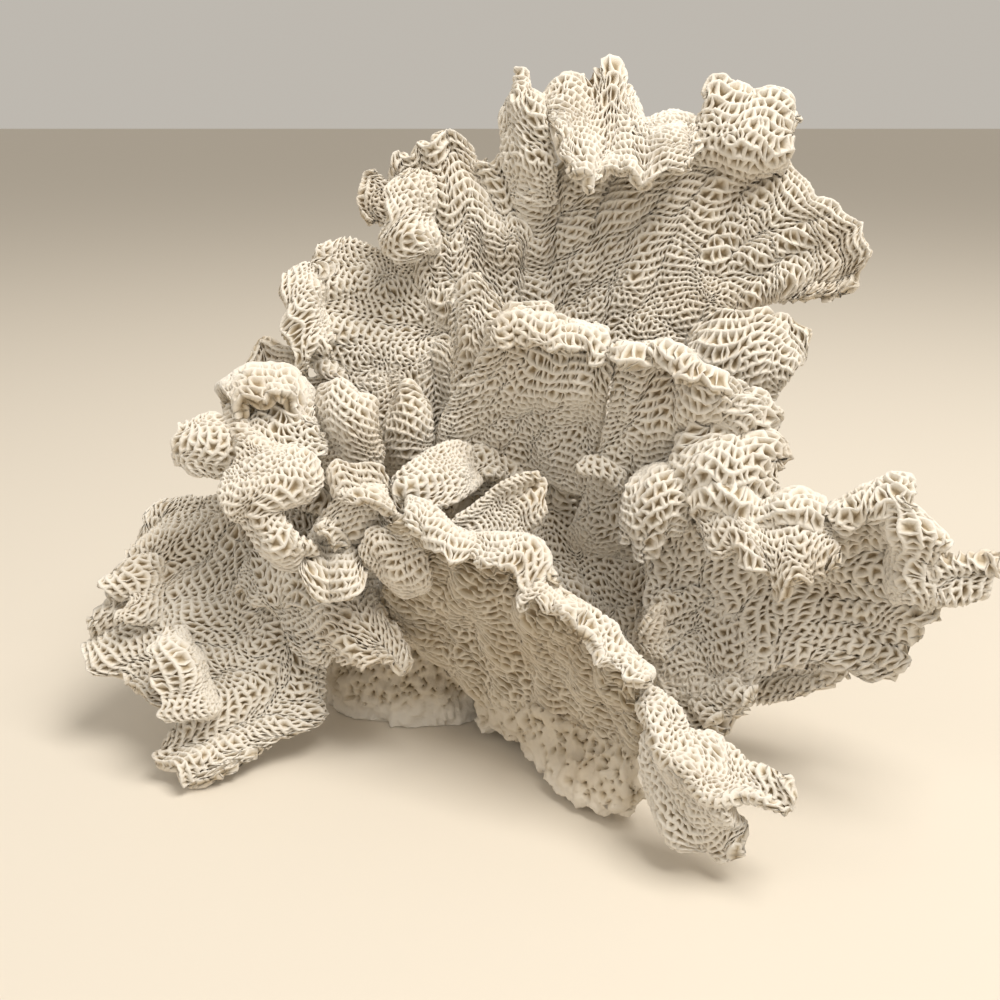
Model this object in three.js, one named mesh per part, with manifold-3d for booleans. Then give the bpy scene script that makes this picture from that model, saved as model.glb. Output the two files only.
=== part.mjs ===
// A dried lettuce coral: a low stock with thin upright fans, ruffled at their margins.
// Millimetres, +Z up, -Y towards the viewer. The flat cut at its foot lies on Z = 0.
import * as THREE from 'three';
import { mergeVertices } from 'three/addons/utils/BufferGeometryUtils.js';
import Module from 'manifold-3d';

// The colony was surveyed from one viewpoint: every guide point is [right, up, behind] in millimetres,
// measured in a plane through its middle, square to the line of sight.
const SIGHT_PITCH = THREE.MathUtils.degToRad(21.1);
const SIGHT_DISTANCE = 400;
const MIDDLE_HEIGHT = 117;
const FOOT_MIDDLE_BEHIND = 55;

// A gap as thin as a hair keeps neighbouring pieces apart.
const GAP = 0.3;
// One facet of a plate is about this long and this wide.
const FACET_ALONG = 23;
const FACET_ACROSS = 26;
const MARGIN_TAPER = 0.55;
const CURVE_STEPS = 60;

const CORAL_CREAM = 0xe6dccb;
const CORAL_SHADE = 0xd3c7b2;

const wasm = await Module();
wasm.setup();

const sin = Math.sin(SIGHT_PITCH);
const cos = Math.cos(SIGHT_PITCH);

// Turns a surveyed point into the coral's own frame.
function place([right, up, behind]) {
  const spread = 1 + behind / SIGHT_DISTANCE;
  return new THREE.Vector3(
    right * spread,
    up * spread * sin + behind * cos - FOOT_MIDDLE_BEHIND,
    MIDDLE_HEIGHT + up * spread * cos - behind * sin,
  );
}

// Points in the coral's own frame, for what the viewpoint doesn't show.
function direct([x, y, z]) {
  return new THREE.Vector3(x, y, z);
}

function plate(name, thickness, rows, toFrame = place) {
  return { name, thickness, rows: rows.map((row) => row.map(toFrame)) };
}

// Each frond is one or more plates. A plate's rows run from where it grows out to its margin.
const FRONDS = {
  back_fan: [
    plate('main', [10, 6], [
      [[18, 2, 60], [44, -2, 56], [64, 2, 54], [84, 22, 54]],
      [[12, 30, 60], [45, 25, 58], [75, 30, 56], [97, 48, 54]],
      [[8, 72, 55], [35, 74, 53], [60, 70, 51], [85, 74, 49], [106, 80, 48]],
      [[6, 104, 48], [30, 106, 46], [55, 104, 45], [80, 106, 43], [104, 98, 42], [124, 80, 42]],
      [[4, 136, 40], [20, 134, 38], [38, 138, 38], [54, 142, 37], [68, 144, 37],
        [82, 146, 36], [98, 147, 35], [112, 140, 35], [122, 129, 36], [127, 122, 35],
        [137, 118, 35], [146, 107, 35], [146, 94, 36], [138, 81, 38]],
    ]),
    plate('left_horn', [7, 5], [
      [[5, 118, 44], [14, 116, 42], [24, 118, 40]],
      [[1, 138, 40], [11, 138, 32], [22, 140, 30]],
      [[0, 155, 38], [9, 156, 30], [18, 156, 27]],
      [[3, 163, 37], [7, 172, 34], [12, 169, 33], [16, 160, 31]],
    ]),
    plate('folded_lip', [7, 5], [
      [[14, 146, 41], [28, 142, 43], [45, 140, 43], [62, 138, 40], [79, 138, 39]],
      [[18, 157, 33], [22, 163, 33], [27, 169, 34], [36, 168, 37], [44, 174, 36],
        [50, 162, 38], [56, 150, 35], [70, 153, 33], [80, 150, 33]],
      [[20, 150, 25], [26, 150, 24], [33, 150, 28], [42, 149, 31],
        [50, 142, 27], [58, 142, 24], [70, 146, 25], [80, 144, 28]],
      [[23, 146, 21], [26, 136, 18], [30, 126, 16], [35, 121, 16], [41, 129, 19],
        [49, 129, 20], [56, 124, 17], [64, 127, 17], [73, 132, 20], [81, 138, 26]],
    ]),
    plate('round_cap', [8, 6], [
      [[78, 136, 38], [96, 129, 38], [114, 132, 37]],
      [[79, 146, 30], [97, 141, 26], [116, 139, 30]],
      [[80, 156, 29], [97, 154, 25], [118, 149, 29]],
      [[84, 162, 34], [92, 166, 34], [100, 167, 34], [110, 162, 34], [117, 154, 34]],
    ]),
    plate('low_bulge', [8, 6], [
      [[72, 36, 52], [90, 34, 50], [108, 38, 48]],
      [[74, 56, 44], [95, 56, 36], [117, 50, 39]],
      [[77, 74, 45], [90, 79, 41], [104, 77, 41], [119, 72, 42], [125, 62, 42]],
    ]),
    plate('behind_knob', [7, 5], [
      [[52, 138, 41], [72, 140, 40]],
      [[54, 150, 38], [74, 150, 37]],
      [[56, 153, 37], [64, 155, 36], [73, 152, 36]],
    ]),
  ],
  upper_left_fan: [
    plate('main', [9, 6], [
      [[-22, 2, 56], [-6, 0, 55], [14, 2, 56]],
      [[-25, 58, 58], [-8, 56, 56], [12, 60, 56]],
      [[-34, 88, 51], [-12, 92, 49], [12, 95, 49]],
      [[-40, 116, 44], [-18, 120, 44], [0, 122, 45], [14, 120, 45]],
      [[-46, 132, 41], [-41, 141, 40], [-37, 138, 40], [-33, 143, 40], [-27, 140, 41], [-21, 146, 41],
        [-13, 144, 42], [-9, 138, 43], [-3, 132, 44], [3, 135, 43], [13, 128, 43]],
    ]),
    plate('flap', [6, 4], [
      [[-28, 130, 42], [-26, 112, 43], [-26, 98, 45]],
      [[-35, 133, 33], [-36, 115, 30], [-31, 97, 34]],
      [[-41, 130, 30], [-46, 122, 26], [-46, 112, 26], [-49, 103, 28], [-42, 96, 30], [-36, 92, 32]],
    ]),
    plate('left_lobe', [7, 5], [
      [[-36, 124, 46], [-38, 104, 48]],
      [[-48, 130, 44], [-50, 110, 46]],
      [[-49, 135, 43], [-56, 130, 43], [-60, 120, 43], [-56, 112, 44], [-51, 106, 45]],
    ]),
  ],
  left_fan: [
    plate('main', [9, 6], [
      [[-20, 92, 57], [-16, 70, 58], [-22, 50, 60]],
      [[-44, 100, 51], [-44, 72, 54], [-42, 44, 56]],
      [[-62, 105, 46], [-64, 75, 48], [-56, 43, 52]],
      [[-75, 99, 42], [-78, 92, 40], [-80, 80, 40], [-80, 62, 42], [-74, 49, 46]],
    ]),
    plate('curled_edge', [6, 4], [
      [[-72, 96, 42], [-71, 78, 44], [-66, 62, 46]],
      [[-81, 95, 35], [-79, 78, 32], [-74, 60, 35]],
      [[-86, 93, 36], [-89, 86, 33], [-86, 76, 32], [-88, 66, 33], [-84, 57, 33], [-78, 47, 36]],
    ]),
    plate('barb', [5, 3], [
      [[-78, 72, 38], [-78, 60, 38]],
      [[-72, 68, 35], [-72, 58, 34]],
      [[-66, 58, 33], [-66, 55, 33]],
    ]),
  ],
  far_left_frond: [
    plate('main', [8, 5], [
      [[-52, 6, 60], [-62, -12, 58]],
      [[-76, 30, 60], [-98, 30, 60]],
      [[-76, 44, 60], [-92, 50, 58], [-108, 40, 58]],
      [[-77, 55, 58], [-92, 64, 55], [-102, 56, 55], [-111, 47, 55]],
    ]),
  ],
  left_limb: [
    plate('backing', [9, 6], [
      [[-72, -6, 58], [-50, -10, 60], [-20, -4, 60]],
      [[-80, 26, 54], [-50, 28, 57], [-18, 34, 58]],
      [[-78, 50, 52], [-64, 56, 52], [-44, 54, 54], [-20, 64, 55]],
    ]),
    plate('main', [22, 14], [
      [[-34, -22, 56], [-26, 14, 56]],
      [[-64, -10, 48], [-58, 24, 48]],
      [[-94, 6, 38], [-88, 28, 40]],
    ]),
  ],
  cup_lobe: [
    plate('hood', [9, 6], [
      [[-96, 4, 40], [-80, 0, 44], [-66, 6, 42]],
      [[-108, 24, 34], [-88, 26, 44], [-72, 22, 42]],
      [[-112, 40, 26], [-100, 48, 30], [-86, 48, 32], [-73, 36, 34]],
      [[-110, 42, 12], [-102, 50, 14], [-92, 50, 13], [-82, 46, 15], [-74, 34, 20]],
      [[-103, 26, 2], [-99, 34, 3], [-92, 41, 4], [-85, 39, 5], [-79, 31, 8], [-70, 26, 14]],
    ]),
    plate('inside', [7, 6], [
      [[-98, 17, 8], [-84, 14, 8], [-69, 17, 14]],
      [[-101, 30, 8], [-88, 28, 11], [-70, 27, 16]],
      [[-98, 37, 10], [-89, 42, 13], [-79, 35, 14], [-71, 29, 18]],
    ]),
  ],
  left_lobe: [
    plate('main', [8, 6], [
      [[-100, 32, 18], [-98, 20, 14], [-102, 8, 18]],
      [[-113, 34, 12], [-112, 22, 4], [-110, 9, 12]],
      [[-122, 31, 10], [-123, 20, 3], [-120, 10, 8]],
      [[-127, 27, 9], [-133, 22, 6], [-132, 15, 6], [-126, 11, 8]],
    ]),
  ],
  ribbon_frond: [
    plate('main', [7, 5], [
      [[-110, 36, 14], [-99, 37, 16]],
      [[-107, 27, 7], [-97, 27, 5]],
      [[-104, 20, 3], [-96, 21, 0], [-88, 20, 5]],
      [[-110, 9, 0], [-97, 13, -5], [-84, 15, -3], [-73, 15, 3]],
      [[-112, 3, -2], [-99, 3, -8], [-86, 5, -6], [-72, 5, 3]],
      [[-109, -6, -4], [-97, -5, -8], [-86, -3, -3]],
      [[-101, -12, -2], [-92, -12, -6], [-83, -11, -2]],
      [[-94, -20, 2], [-84, -19, -4], [-75, -18, 3]],
      [[-87, -26, 8], [-80, -26, 4], [-72, -22, 8]],
    ]),
  ],
  inner_left_frond: [
    plate('main', [8, 5], [
      [[-70, 8, 32], [-50, 6, 32]],
      [[-70, 24, 24], [-58, 23, 16], [-46, 20, 26]],
      [[-72, 37, 21], [-61, 37, 14], [-49, 31, 22]],
      [[-71, 43, 22], [-67, 47, 21], [-61, 48, 19], [-55, 41, 21], [-49, 33, 24]],
    ]),
  ],
  inner_knob: [
    plate('main', [9, 7], [
      [[-46, 10, 44], [-30, 10, 44]],
      [[-46, 30, 37], [-36, 28, 32], [-27, 30, 37]],
      [[-43, 42, 36], [-36, 46, 35], [-29, 42, 36]],
    ]),
  ],
  inner_front_frond: [
    plate('main', [8, 5], [
      [[-62, -40, 50], [-40, -34, 50]],
      [[-70, -20, 24], [-50, -20, 22]],
      [[-73, -12, 9], [-60, -8, 5], [-44, -8, 9]],
      [[-67, 3, 4], [-55, 4, 0], [-44, 2, 6]],
      [[-71, 9, 5], [-66, 15, 4], [-60, 17, 3], [-52, 16, 4], [-44, 11, 7]],
    ]),
    plate('bright_shelf', [6, 5], [
      [[-66, 8, 12], [-46, 6, 14]],
      [[-67, 4, 0], [-56, 3, -4], [-44, 1, 1]],
      [[-64, -2, -3], [-55, -3, -7], [-47, -6, -6], [-39, -5, -2]],
    ]),
    plate('knob', [7, 6], [
      [[-64, -2, 16], [-56, -14, 18]],
      [[-69, -6, 4], [-62, -20, 8]],
      [[-72, -9, 0], [-74, -14, 0], [-69, -19, 2], [-63, -20, 4]],
    ]),
  ],
  inner_slant_frond: [
    plate('main', [7, 5], [
      [[-10, 20, 38], [-8, 6, 38]],
      [[-19, 24, 26], [-16, 0, 20]],
      [[-31, 19, 16], [-23, -4, 11]],
      [[-40, 13, 12], [-33, -4, 8]],
      [[-45, 8, 12], [-41, 0, 9]],
    ]),
    plate('rubble', [9, 7], [
      [[-18, 20, 38], [-16, 6, 38]],
      [[-5, 22, 38], [-6, 8, 34]],
      [[8, 13, 42], [5, 7, 40]],
    ]),
  ],
  inner_thin_frond: [
    plate('main', [6, 4], [
      [[-36, -30, 46], [-22, -44, 46]],
      [[-32, -24, 26], [-20, -34, 26]],
      [[-26, -12, 14], [-15, -26, 15]],
      [[-10, -2, 9], [-1, -20, 15]],
      [[4, 9, 9], [12, -12, 17]],
      [[17, 12, 12], [20, 0, 17]],
    ]),
  ],
  centre_fan: [
    plate('main', [9, 6], [
      [[-28, 16, 40], [-8, 16, 46], [16, 10, 48], [36, 0, 42]],
      [[-22, 38, 32], [2, 40, 30], [24, 38, 28], [42, 32, 25]],
      [[-8, 57, 21], [10, 58, 15], [28, 54, 13], [44, 48, 14]],
      [[-5, 65, 20], [2, 75, 18], [10, 78, 17], [18, 77, 16],
        [24, 72, 14], [31, 70, 13], [40, 69, 12], [45, 63, 12]],
    ]),
    plate('lip', [6, 4], [
      [[0, 73, 22], [14, 75, 20], [28, 70, 17], [43, 67, 16]],
      [[-3, 68, 12], [4, 72, 9], [12, 72, 7], [19, 68, 6],
        [25, 63, 4], [31, 67, 5], [37, 65, 5], [43, 60, 7]],
      [[-4, 60, 10], [8, 63, 5], [18, 60, 3], [26, 57, 2], [34, 58, 2], [40, 48, 5]],
    ]),
    plate('side_horn', [7, 5], [
      [[-20, 40, 42], [6, 42, 38]],
      [[-19, 66, 31], [-7, 64, 24], [4, 66, 25]],
      [[-22, 84, 26], [-17, 91, 25], [-8, 90, 22], [1, 77, 20]],
    ]),
  ],
  centre_right_fan: [
    plate('main', [9, 6], [
      [[26, -16, 56], [44, -24, 54], [62, -18, 46]],
      [[32, 0, 42], [52, -8, 38], [74, -4, 32]],
      [[40, 22, 27], [60, 22, 18], [84, 18, 14]],
      [[44, 45, 14], [62, 46, 4], [84, 38, -1], [101, 30, 2]],
      [[45, 63, 10], [51, 60, 5], [57, 58, 2], [62, 60, 0], [67, 63, 0],
        [73, 60, -2], [80, 55, -4], [88, 49, -4], [98, 47, 0], [107, 41, 4]],
    ]),
    plate('spur', [6, 4], [
      [[50, 12, 22], [48, 2, 24]],
      [[40, 18, 18], [40, 8, 20]],
      [[31, 17, 18], [31, 10, 19]],
    ]),
    plate('shoulder', [9, 7], [
      [[72, -2, 24], [92, -6, 16], [108, -8, 12]],
      [[67, 11, 8], [90, 8, -9], [112, 3, -6]],
      [[70, 18, 7], [90, 20, -7], [113, 14, -3]],
      [[73, 25, 10], [86, 28, 6], [97, 30, 4], [106, 27, 4], [113, 20, 4], [117, 10, 4]],
    ]),
    plate('apron', [9, 6], [
      [[60, 14, 26], [80, 8, 20]],
      [[52, 5, 12], [64, 8, 4], [79, 2, 4]],
      [[50, -6, 12], [62, -6, 2], [77, -8, 4]],
      [[48, -19, 14], [55, -26, 9], [61, -22, 8], [66, -17, 8], [76, -13, 9]],
    ]),
    plate('lip', [6, 5], [
      [[46, 60, 12], [66, 60, 8], [88, 47, 6]],
      [[44, 60, 3], [51, 58, -2], [58, 57, -5], [64, 60, -7], [72, 56, -9], [82, 49, -10], [90, 45, -6]],
      [[44, 54, 4], [52, 53, -3], [60, 54, -6], [66, 51, -8], [74, 46, -10], [82, 42, -9], [89, 43, -4]],
    ]),
    plate('side_bulge', [8, 6], [
      [[78, 32, 14], [98, 20, 14]],
      [[83, 40, 2], [98, 37, -4], [108, 25, 5]],
      [[90, 47, 2], [98, 48, 0], [105, 44, 2], [110, 37, 4], [111, 28, 8]],
    ]),
  ],
  right_fan: [
    plate('main', [11, 6], [
      [[58, -18, 26], [58, -38, 28], [60, -60, 28], [68, -80, 24]],
      [[80, -6, 8], [86, -30, 16], [88, -55, 18], [92, -78, 16]],
      [[106, -8, -8], [112, -28, 6], [115, -50, 8], [118, -66, 8]],
      [[132, -6, -18], [140, -25, -6], [142, -45, -4], [138, -68, 0]],
      [[166, 5, -26], [173, -10, -28], [176, -25, -27], [177, -40, -24],
        [171, -52, -18], [168, -61, -14], [156, -71, -8], [148, -73, -6]],
    ]),
    plate('top_lip', [6, 5], [
      [[76, 0, 6], [84, 5, 1], [90, 8, -2], [97, 4, -5], [104, -3, -8],
        [112, -1, -10], [119, 2, -12], [126, 0, -15], [131, -3, -17]],
      [[75, -2, -4], [84, 1, -9], [91, 2, -13], [97, -4, -15], [104, -8, -17],
        [111, -4, -20], [118, -5, -22], [125, -8, -23], [130, -8, -24]],
      [[77, -10, -2], [90, -9, -8], [104, -15, -12], [118, -13, -16], [130, -14, -18]],
    ]),
    plate('far_lip', [6, 5], [
      [[130, -3, -17], [138, 3, -20], [148, 7, -23], [157, 10, -26], [166, 9, -27]],
      [[131, -6, -24], [140, -4, -28], [150, -2, -31], [158, 1, -33], [166, 3, -32]],
      [[132, -12, -20], [145, -10, -25], [158, -8, -29]],
    ]),
    plate('hanging_fold', [8, 6], [
      [[78, -4, 0], [91, -4, -8], [104, -10, -13], [118, -8, -17], [133, -10, -19]],
      [[79, -12, -5], [91, -14, -13], [104, -20, -18], [118, -20, -23], [135, -18, -23]],
      [[80, -16, 0], [88, -22, -8], [98, -21, -14], [106, -32, -18], [112, -39, -20],
        [118, -34, -23], [124, -37, -24], [130, -28, -24], [138, -24, -24]],
    ]),
    plate('side_curl', [7, 5], [
      [[150, 2, -22], [155, -20, -13], [160, -42, -14]],
      [[160, 2, -34], [163, -20, -33], [166, -42, -27]],
      [[168, -5, -35], [174, -13, -35], [176, -24, -33], [178, -36, -30], [174, -48, -25]],
    ]),
    plate('knob', [13, 11], [
      [[168, -24, -28], [170, -42, -26]],
      [[180, -22, -32], [182, -41, -29]],
      [[190, -21, -35], [190, -39, -31]],
      [[195, -21, -35], [199, -29, -34], [195, -36, -32]],
    ]),
    plate('left_flap', [6, 4], [
      [[74, -42, 26], [74, -66, 26]],
      [[65, -39, 17], [63, -64, 20]],
      [[59, -43, 14], [55, -51, 13], [57, -61, 16]],
    ]),
    plate('lower_shelf', [8, 5], [
      [[70, -72, 30], [96, -64, 16]],
      [[76, -83, 18], [99, -75, 6]],
      [[84, -93, 12], [90, -86, 6], [100, -83, 2], [106, -73, 2]],
    ]),
  ],
  right_lower_fan: [
    plate('main', [8, 5], [
      [[44, -50, 50], [42, -76, 46]],
      [[84, -56, 34], [78, -80, 34]],
      [[112, -60, 24], [106, -82, 24]],
      [[142, -66, 12], [130, -76, 12]],
    ]),
  ],
  right_stem: [
    plate('main', [14, 9], [
      [[66, -36, 24], [82, -34, 20], [98, -42, 16]],
      [[54, -58, 28], [76, -60, 20], [103, -62, 13]],
      [[57, -76, 32], [78, -80, 24], [100, -81, 17]],
      [[64, -95, 26], [76, -101, 18], [86, -98, 12]],
    ]),
  ],
  right_buttress: [
    plate('main', [20, 14], [
      [[28, -44, 56], [36, -96, 48]],
      [[50, -42, 44], [56, -92, 34]],
      [[72, -40, 32], [74, -88, 28]],
    ]),
  ],
  front_fan: [
    plate('main', [11, 6], [
      [[-40, -40, 56], [-10, -58, 58], [12, -72, 56], [36, -78, 40], [58, -90, 24]],
      [[-42, -50, 36], [-20, -64, 38], [5, -86, 40], [30, -97, 26], [50, -110, 8]],
      [[-48, -32, 20], [-15, -46, 18], [15, -64, 10], [40, -82, -2], [58, -98, -14]],
      [[-46, -14, 8], [-18, -28, 2], [10, -42, -6], [36, -62, -14], [56, -80, -24]],
      [[-38, -2, -2], [-20, -14, -8], [0, -20, -12], [17, -24, -16],
        [28, -40, -20], [42, -54, -24], [62, -72, -31]],
    ]),
    plate('lip', [7, 5], [
      [[-38, 0, 2], [-30, -1, -1], [-19, -10, -3], [-2, -15, -7], [13, -17, -10], [19, -23, -12],
        [21, -34, -14], [29, -40, -17], [38, -46, -19], [46, -52, -21], [52, -61, -24], [63, -70, -27]],
      [[-38, -4, -6], [-28, -12, -9], [-18, -18, -11], [-4, -21, -14], [10, -22, -18], [16, -27, -19],
        [13, -36, -20], [22, -42, -22], [32, -47, -25], [40, -56, -27], [47, -64, -30], [60, -74, -34]],
      [[-36, -10, -7], [-27, -20, -11], [-19, -27, -13], [-11, -23, -17], [-3, -28, -19],
        [4, -31, -21], [10, -29, -22], [5, -38, -20], [7, -46, -22], [16, -43, -25],
        [23, -50, -27], [32, -54, -29], [36, -61, -31], [45, -68, -33], [57, -77, -36]],
    ]),
    plate('side_fold', [8, 5], [
      [[-40, -38, 16], [-26, -36, 12]],
      [[-50, -28, 9], [-40, -25, 2], [-28, -24, 2]],
      [[-58, -18, 6], [-48, -11, 1], [-37, -5, -2]],
    ]),
  ],
  front_tip: [
    plate('shelf', [8, 5], [
      [[58, -74, -22], [54, -80, -26]],
      [[68, -80, -26], [59, -92, -36]],
      [[76, -93, -30], [62, -102, -41]],
      [[88, -95, -33], [72, -111, -47]],
      [[98, -102, -38], [82, -121, -53]],
      [[107, -110, -44], [99, -119, -53]],
      [[115, -114, -48], [118, -121, -52], [111, -124, -55]],
    ]),
    plate('toe', [9, 6], [
      [[60, -90, -27], [72, -106, -42], [90, -117, -48]],
      [[58, -106, -26], [72, -120, -38], [95, -126, -46]],
      [[61, -120, -22], [70, -131, -32], [84, -137, -38], [98, -131, -44]],
      [[64, -127, -21], [72, -136, -29], [84, -142, -36], [93, -144, -40], [97, -137, -43]],
    ]),
  ],
  front_keel: [
    plate('main', [10, 7], [
      [[-14, -66, 36], [8, -76, 27], [32, -86, 9], [56, -100, -12]],
      [[-10, -78, 42], [10, -90, 27], [29, -104, 7], [54, -112, -14]],
      [[-2, -86, 56], [10, -100, 34], [20, -110, 18], [31, -119, 7],
        [44, -125, -4], [52, -127, -10], [60, -118, -14]],
    ]),
  ],
  lower_left_fan: [
    plate('main', [10, 6], [
      [[-72, -4, 66], [-64, -30, 58], [-58, -46, 54], [-56, -58, 52]],
      [[-98, 0, 60], [-86, -35, 46], [-73, -52, 42], [-72, -66, 42]],
      [[-116, 2, 58], [-112, -38, 42], [-95, -70, 32], [-70, -88, 36]],
      [[-134, 0, 52], [-132, -42, 38], [-115, -88, 24], [-91, -98, 26]],
      [[-146, -12, 48], [-142, -20, 46], [-149, -25, 42], [-155, -33, 40], [-157, -44, 38],
        [-166, -52, 36], [-169, -61, 34], [-160, -71, 31], [-148, -76, 28], [-138, -84, 23],
        [-131, -90, 20], [-138, -104, 14], [-126, -113, 13], [-115, -114, 12]],
    ]),
    plate('edge_curl', [6, 4], [
      [[-136, -22, 42], [-134, -38, 38], [-136, -50, 34]],
      [[-146, -22, 34], [-145, -36, 28], [-147, -50, 27]],
      [[-154, -26, 34], [-156, -34, 33], [-150, -44, 27], [-158, -47, 28]],
    ]),
    plate('flap', [7, 5], [
      [[-128, -50, 28], [-119, -68, 25], [-112, -86, 22]],
      [[-134, -52, 16], [-126, -68, 9], [-117, -88, 12]],
      [[-137, -54, 17], [-141, -62, 13], [-138, -72, 10], [-138, -80, 11], [-131, -88, 13]],
    ]),
  ],
  lower_lip: [
    plate('main', [8, 5], [
      [[-88, -34, 52], [-66, -30, 50], [-44, -28, 48]],
      [[-90, -42, 38], [-70, -38, 30], [-48, -38, 26]],
      [[-82, -58, 30], [-62, -55, 19], [-42, -50, 17]],
      [[-73, -67, 30], [-56, -62, 20], [-46, -64, 14], [-38, -69, 12], [-34, -58, 15]],
    ]),
    plate('eroded_shelf', [9, 6], [
      [[-98, -18, 44], [-78, -22, 36]],
      [[-104, -30, 40], [-84, -34, 32], [-66, -32, 28]],
      [[-106, -40, 37], [-90, -45, 31], [-66, -45, 26]],
    ]),
  ],
  middle_lip: [
    plate('main', [7, 5], [
      [[-72, -8, 42], [-50, -8, 42]],
      [[-76, -14, 24], [-56, -14, 22]],
      [[-81, -26, 10], [-68, -28, 6], [-54, -28, 9]],
      [[-83, -28, 9], [-76, -36, 4], [-66, -41, 2], [-57, -40, 4], [-51, -32, 7]],
    ]),
  ],
  centre_wall: [
    plate('main', [12, 9], [
      [[5, -38, 38], [28, -50, 46], [50, -54, 42], [68, -52, 38]],
      [[-5, -18, 42], [22, -22, 56], [49, -26, 50], [66, -24, 42]],
      [[-2, 2, 46], [20, 6, 58], [46, 4, 52], [60, 2, 46]],
    ]),
  ],
  rear_low_fan: [
    plate('main', [10, 6], [
      [[-50, 15, 25], [-5, 28, 12], [45, 22, 22]],
      [[-62, 38, 50], [-8, 44, 42], [54, 40, 48]],
      [[-70, 52, 82], [-40, 60, 95], [-5, 58, 78], [30, 62, 96], [62, 54, 80]],
    ], direct),
  ],
  rear_high_frond: [
    plate('main', [9, 6], [
      [[-10, 25, 80], [30, 25, 85]],
      [[-22, 40, 110], [38, 42, 112]],
      [[-30, 52, 135], [-8, 60, 148], [18, 56, 138], [44, 60, 150]],
    ], direct),
  ],
  rear_right_frond: [
    plate('main', [10, 6], [
      [[45, 0, 40], [50, 15, 70]],
      [[85, 18, 50], [88, 28, 85]],
      [[112, 30, 62], [118, 38, 80], [104, 42, 108]],
    ], direct),
  ],
};

// A smooth curve through every point of a row, sampled at even steps of its length.
function evenPoints(row, count) {
  if (row.length === 2) {
    return Array.from({ length: count }, (_, i) => row[0].clone().lerp(row[1], i / (count - 1)));
  }
  const curve = new THREE.CatmullRomCurve3(row, false, 'centripetal');
  curve.arcLengthDivisions = CURVE_STEPS;
  return curve.getSpacedPoints(count - 1);
}

function rowLength(points) {
  return points.slice(1).reduce((sum, point, i) => sum + point.distanceTo(points[i]), 0);
}

// The plate's middle surface: even columns along the rows, then a curve across the rows in each column.
function middleSurface({ rows }) {
  const longest = Math.max(...rows.map(rowLength));
  const columns = Math.max(3, Math.round(longest / FACET_ALONG)) + 1;
  const guides = rows.map((row) => evenPoints(row, columns));
  const reach = rowLength(guides.map((guide) => guide[Math.floor(columns / 2)]));
  const lines = Math.max(rows.length - 1, Math.round(reach / FACET_ACROSS)) + 1;
  return Array.from({ length: columns }, (_, i) => evenPoints(guides.map((guide) => guide[i]), lines));
}

function surfaceNormal(surface, i, j) {
  const before = surface[Math.max(i - 1, 0)][j];
  const after = surface[Math.min(i + 1, surface.length - 1)][j];
  const below = surface[i][Math.max(j - 1, 0)];
  const above = surface[i][Math.min(j + 1, surface[i].length - 1)];
  const along = after.clone().sub(before);
  const across = above.clone().sub(below);
  return along.cross(across).normalize();
}

// The middle surface thickened to both sides, thinner at its free margins, as one closed skin.
function plateSkin(shape, grow) {
  const surface = middleSurface(shape);
  const columns = surface.length;
  const lines = surface[0].length;
  const [rootThickness, rimThickness] = shape.thickness;
  const points = [];
  for (const side of [1, -1]) {
    for (let i = 0; i < columns; i += 1) {
      for (let j = 0; j < lines; j += 1) {
        const edge = i === 0 || i === columns - 1 || j === lines - 1;
        const thickness = THREE.MathUtils.lerp(rootThickness, rimThickness, j / (lines - 1));
        const half = (thickness / 2) * (edge ? MARGIN_TAPER : 1) + grow;
        const point = surface[i][j].clone().addScaledVector(surfaceNormal(surface, i, j), side * half);
        const outward = new THREE.Vector3();
        if (i === 0) outward.add(surface[0][j].clone().sub(surface[1][j]).normalize());
        if (i === columns - 1) outward.add(surface[i][j].clone().sub(surface[i - 1][j]).normalize());
        if (j === 0) outward.add(surface[i][0].clone().sub(surface[i][1]).normalize());
        if (j === lines - 1) outward.add(surface[i][j].clone().sub(surface[i][j - 1]).normalize());
        points.push(point.addScaledVector(outward, grow));
      }
    }
  }
  const front = (i, j) => i * lines + j;
  const back = (i, j) => columns * lines + i * lines + j;
  const faces = [];
  const quad = (a, b, c, d) => faces.push(a, b, c, a, c, d);
  for (let i = 0; i < columns - 1; i += 1) {
    for (let j = 0; j < lines - 1; j += 1) {
      quad(front(i, j), front(i + 1, j), front(i + 1, j + 1), front(i, j + 1));
      quad(back(i, j), back(i, j + 1), back(i + 1, j + 1), back(i + 1, j));
    }
    quad(front(i, 0), back(i, 0), back(i + 1, 0), front(i + 1, 0));
    quad(front(i, lines - 1), front(i + 1, lines - 1), back(i + 1, lines - 1), back(i, lines - 1));
  }
  for (let j = 0; j < lines - 1; j += 1) {
    quad(front(0, j), front(0, j + 1), back(0, j + 1), back(0, j));
    quad(front(columns - 1, j), back(columns - 1, j), back(columns - 1, j + 1), front(columns - 1, j + 1));
  }
  return asGeometry(points, faces);
}

function asGeometry(points, faces) {
  const geometry = new THREE.BufferGeometry();
  geometry.setAttribute('position', new THREE.Float32BufferAttribute(points.flatMap((p) => p.toArray()), 3));
  geometry.setIndex(faces);
  return geometry;
}

// Points closer than this are one corner.
const WELD_DISTANCE = 0.0001;

function toSolid(geometry) {
  const bare = geometry.clone();
  bare.deleteAttribute('normal');
  bare.deleteAttribute('uv');
  const merged = mergeVertices(bare, WELD_DISTANCE);
  return new wasm.Manifold(new wasm.Mesh({
    numProp: 3,
    vertProperties: new Float32Array(merged.attributes.position.array),
    triVerts: new Uint32Array(merged.index.array),
  }));
}

function toGeometry(solid) {
  const mesh = solid.getMesh();
  const geometry = new THREE.BufferGeometry();
  geometry.setAttribute('position', new THREE.BufferAttribute(mesh.vertProperties, 3));
  geometry.setIndex(new THREE.BufferAttribute(mesh.triVerts, 1));
  geometry.computeVertexNormals();
  return geometry;
}

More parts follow.
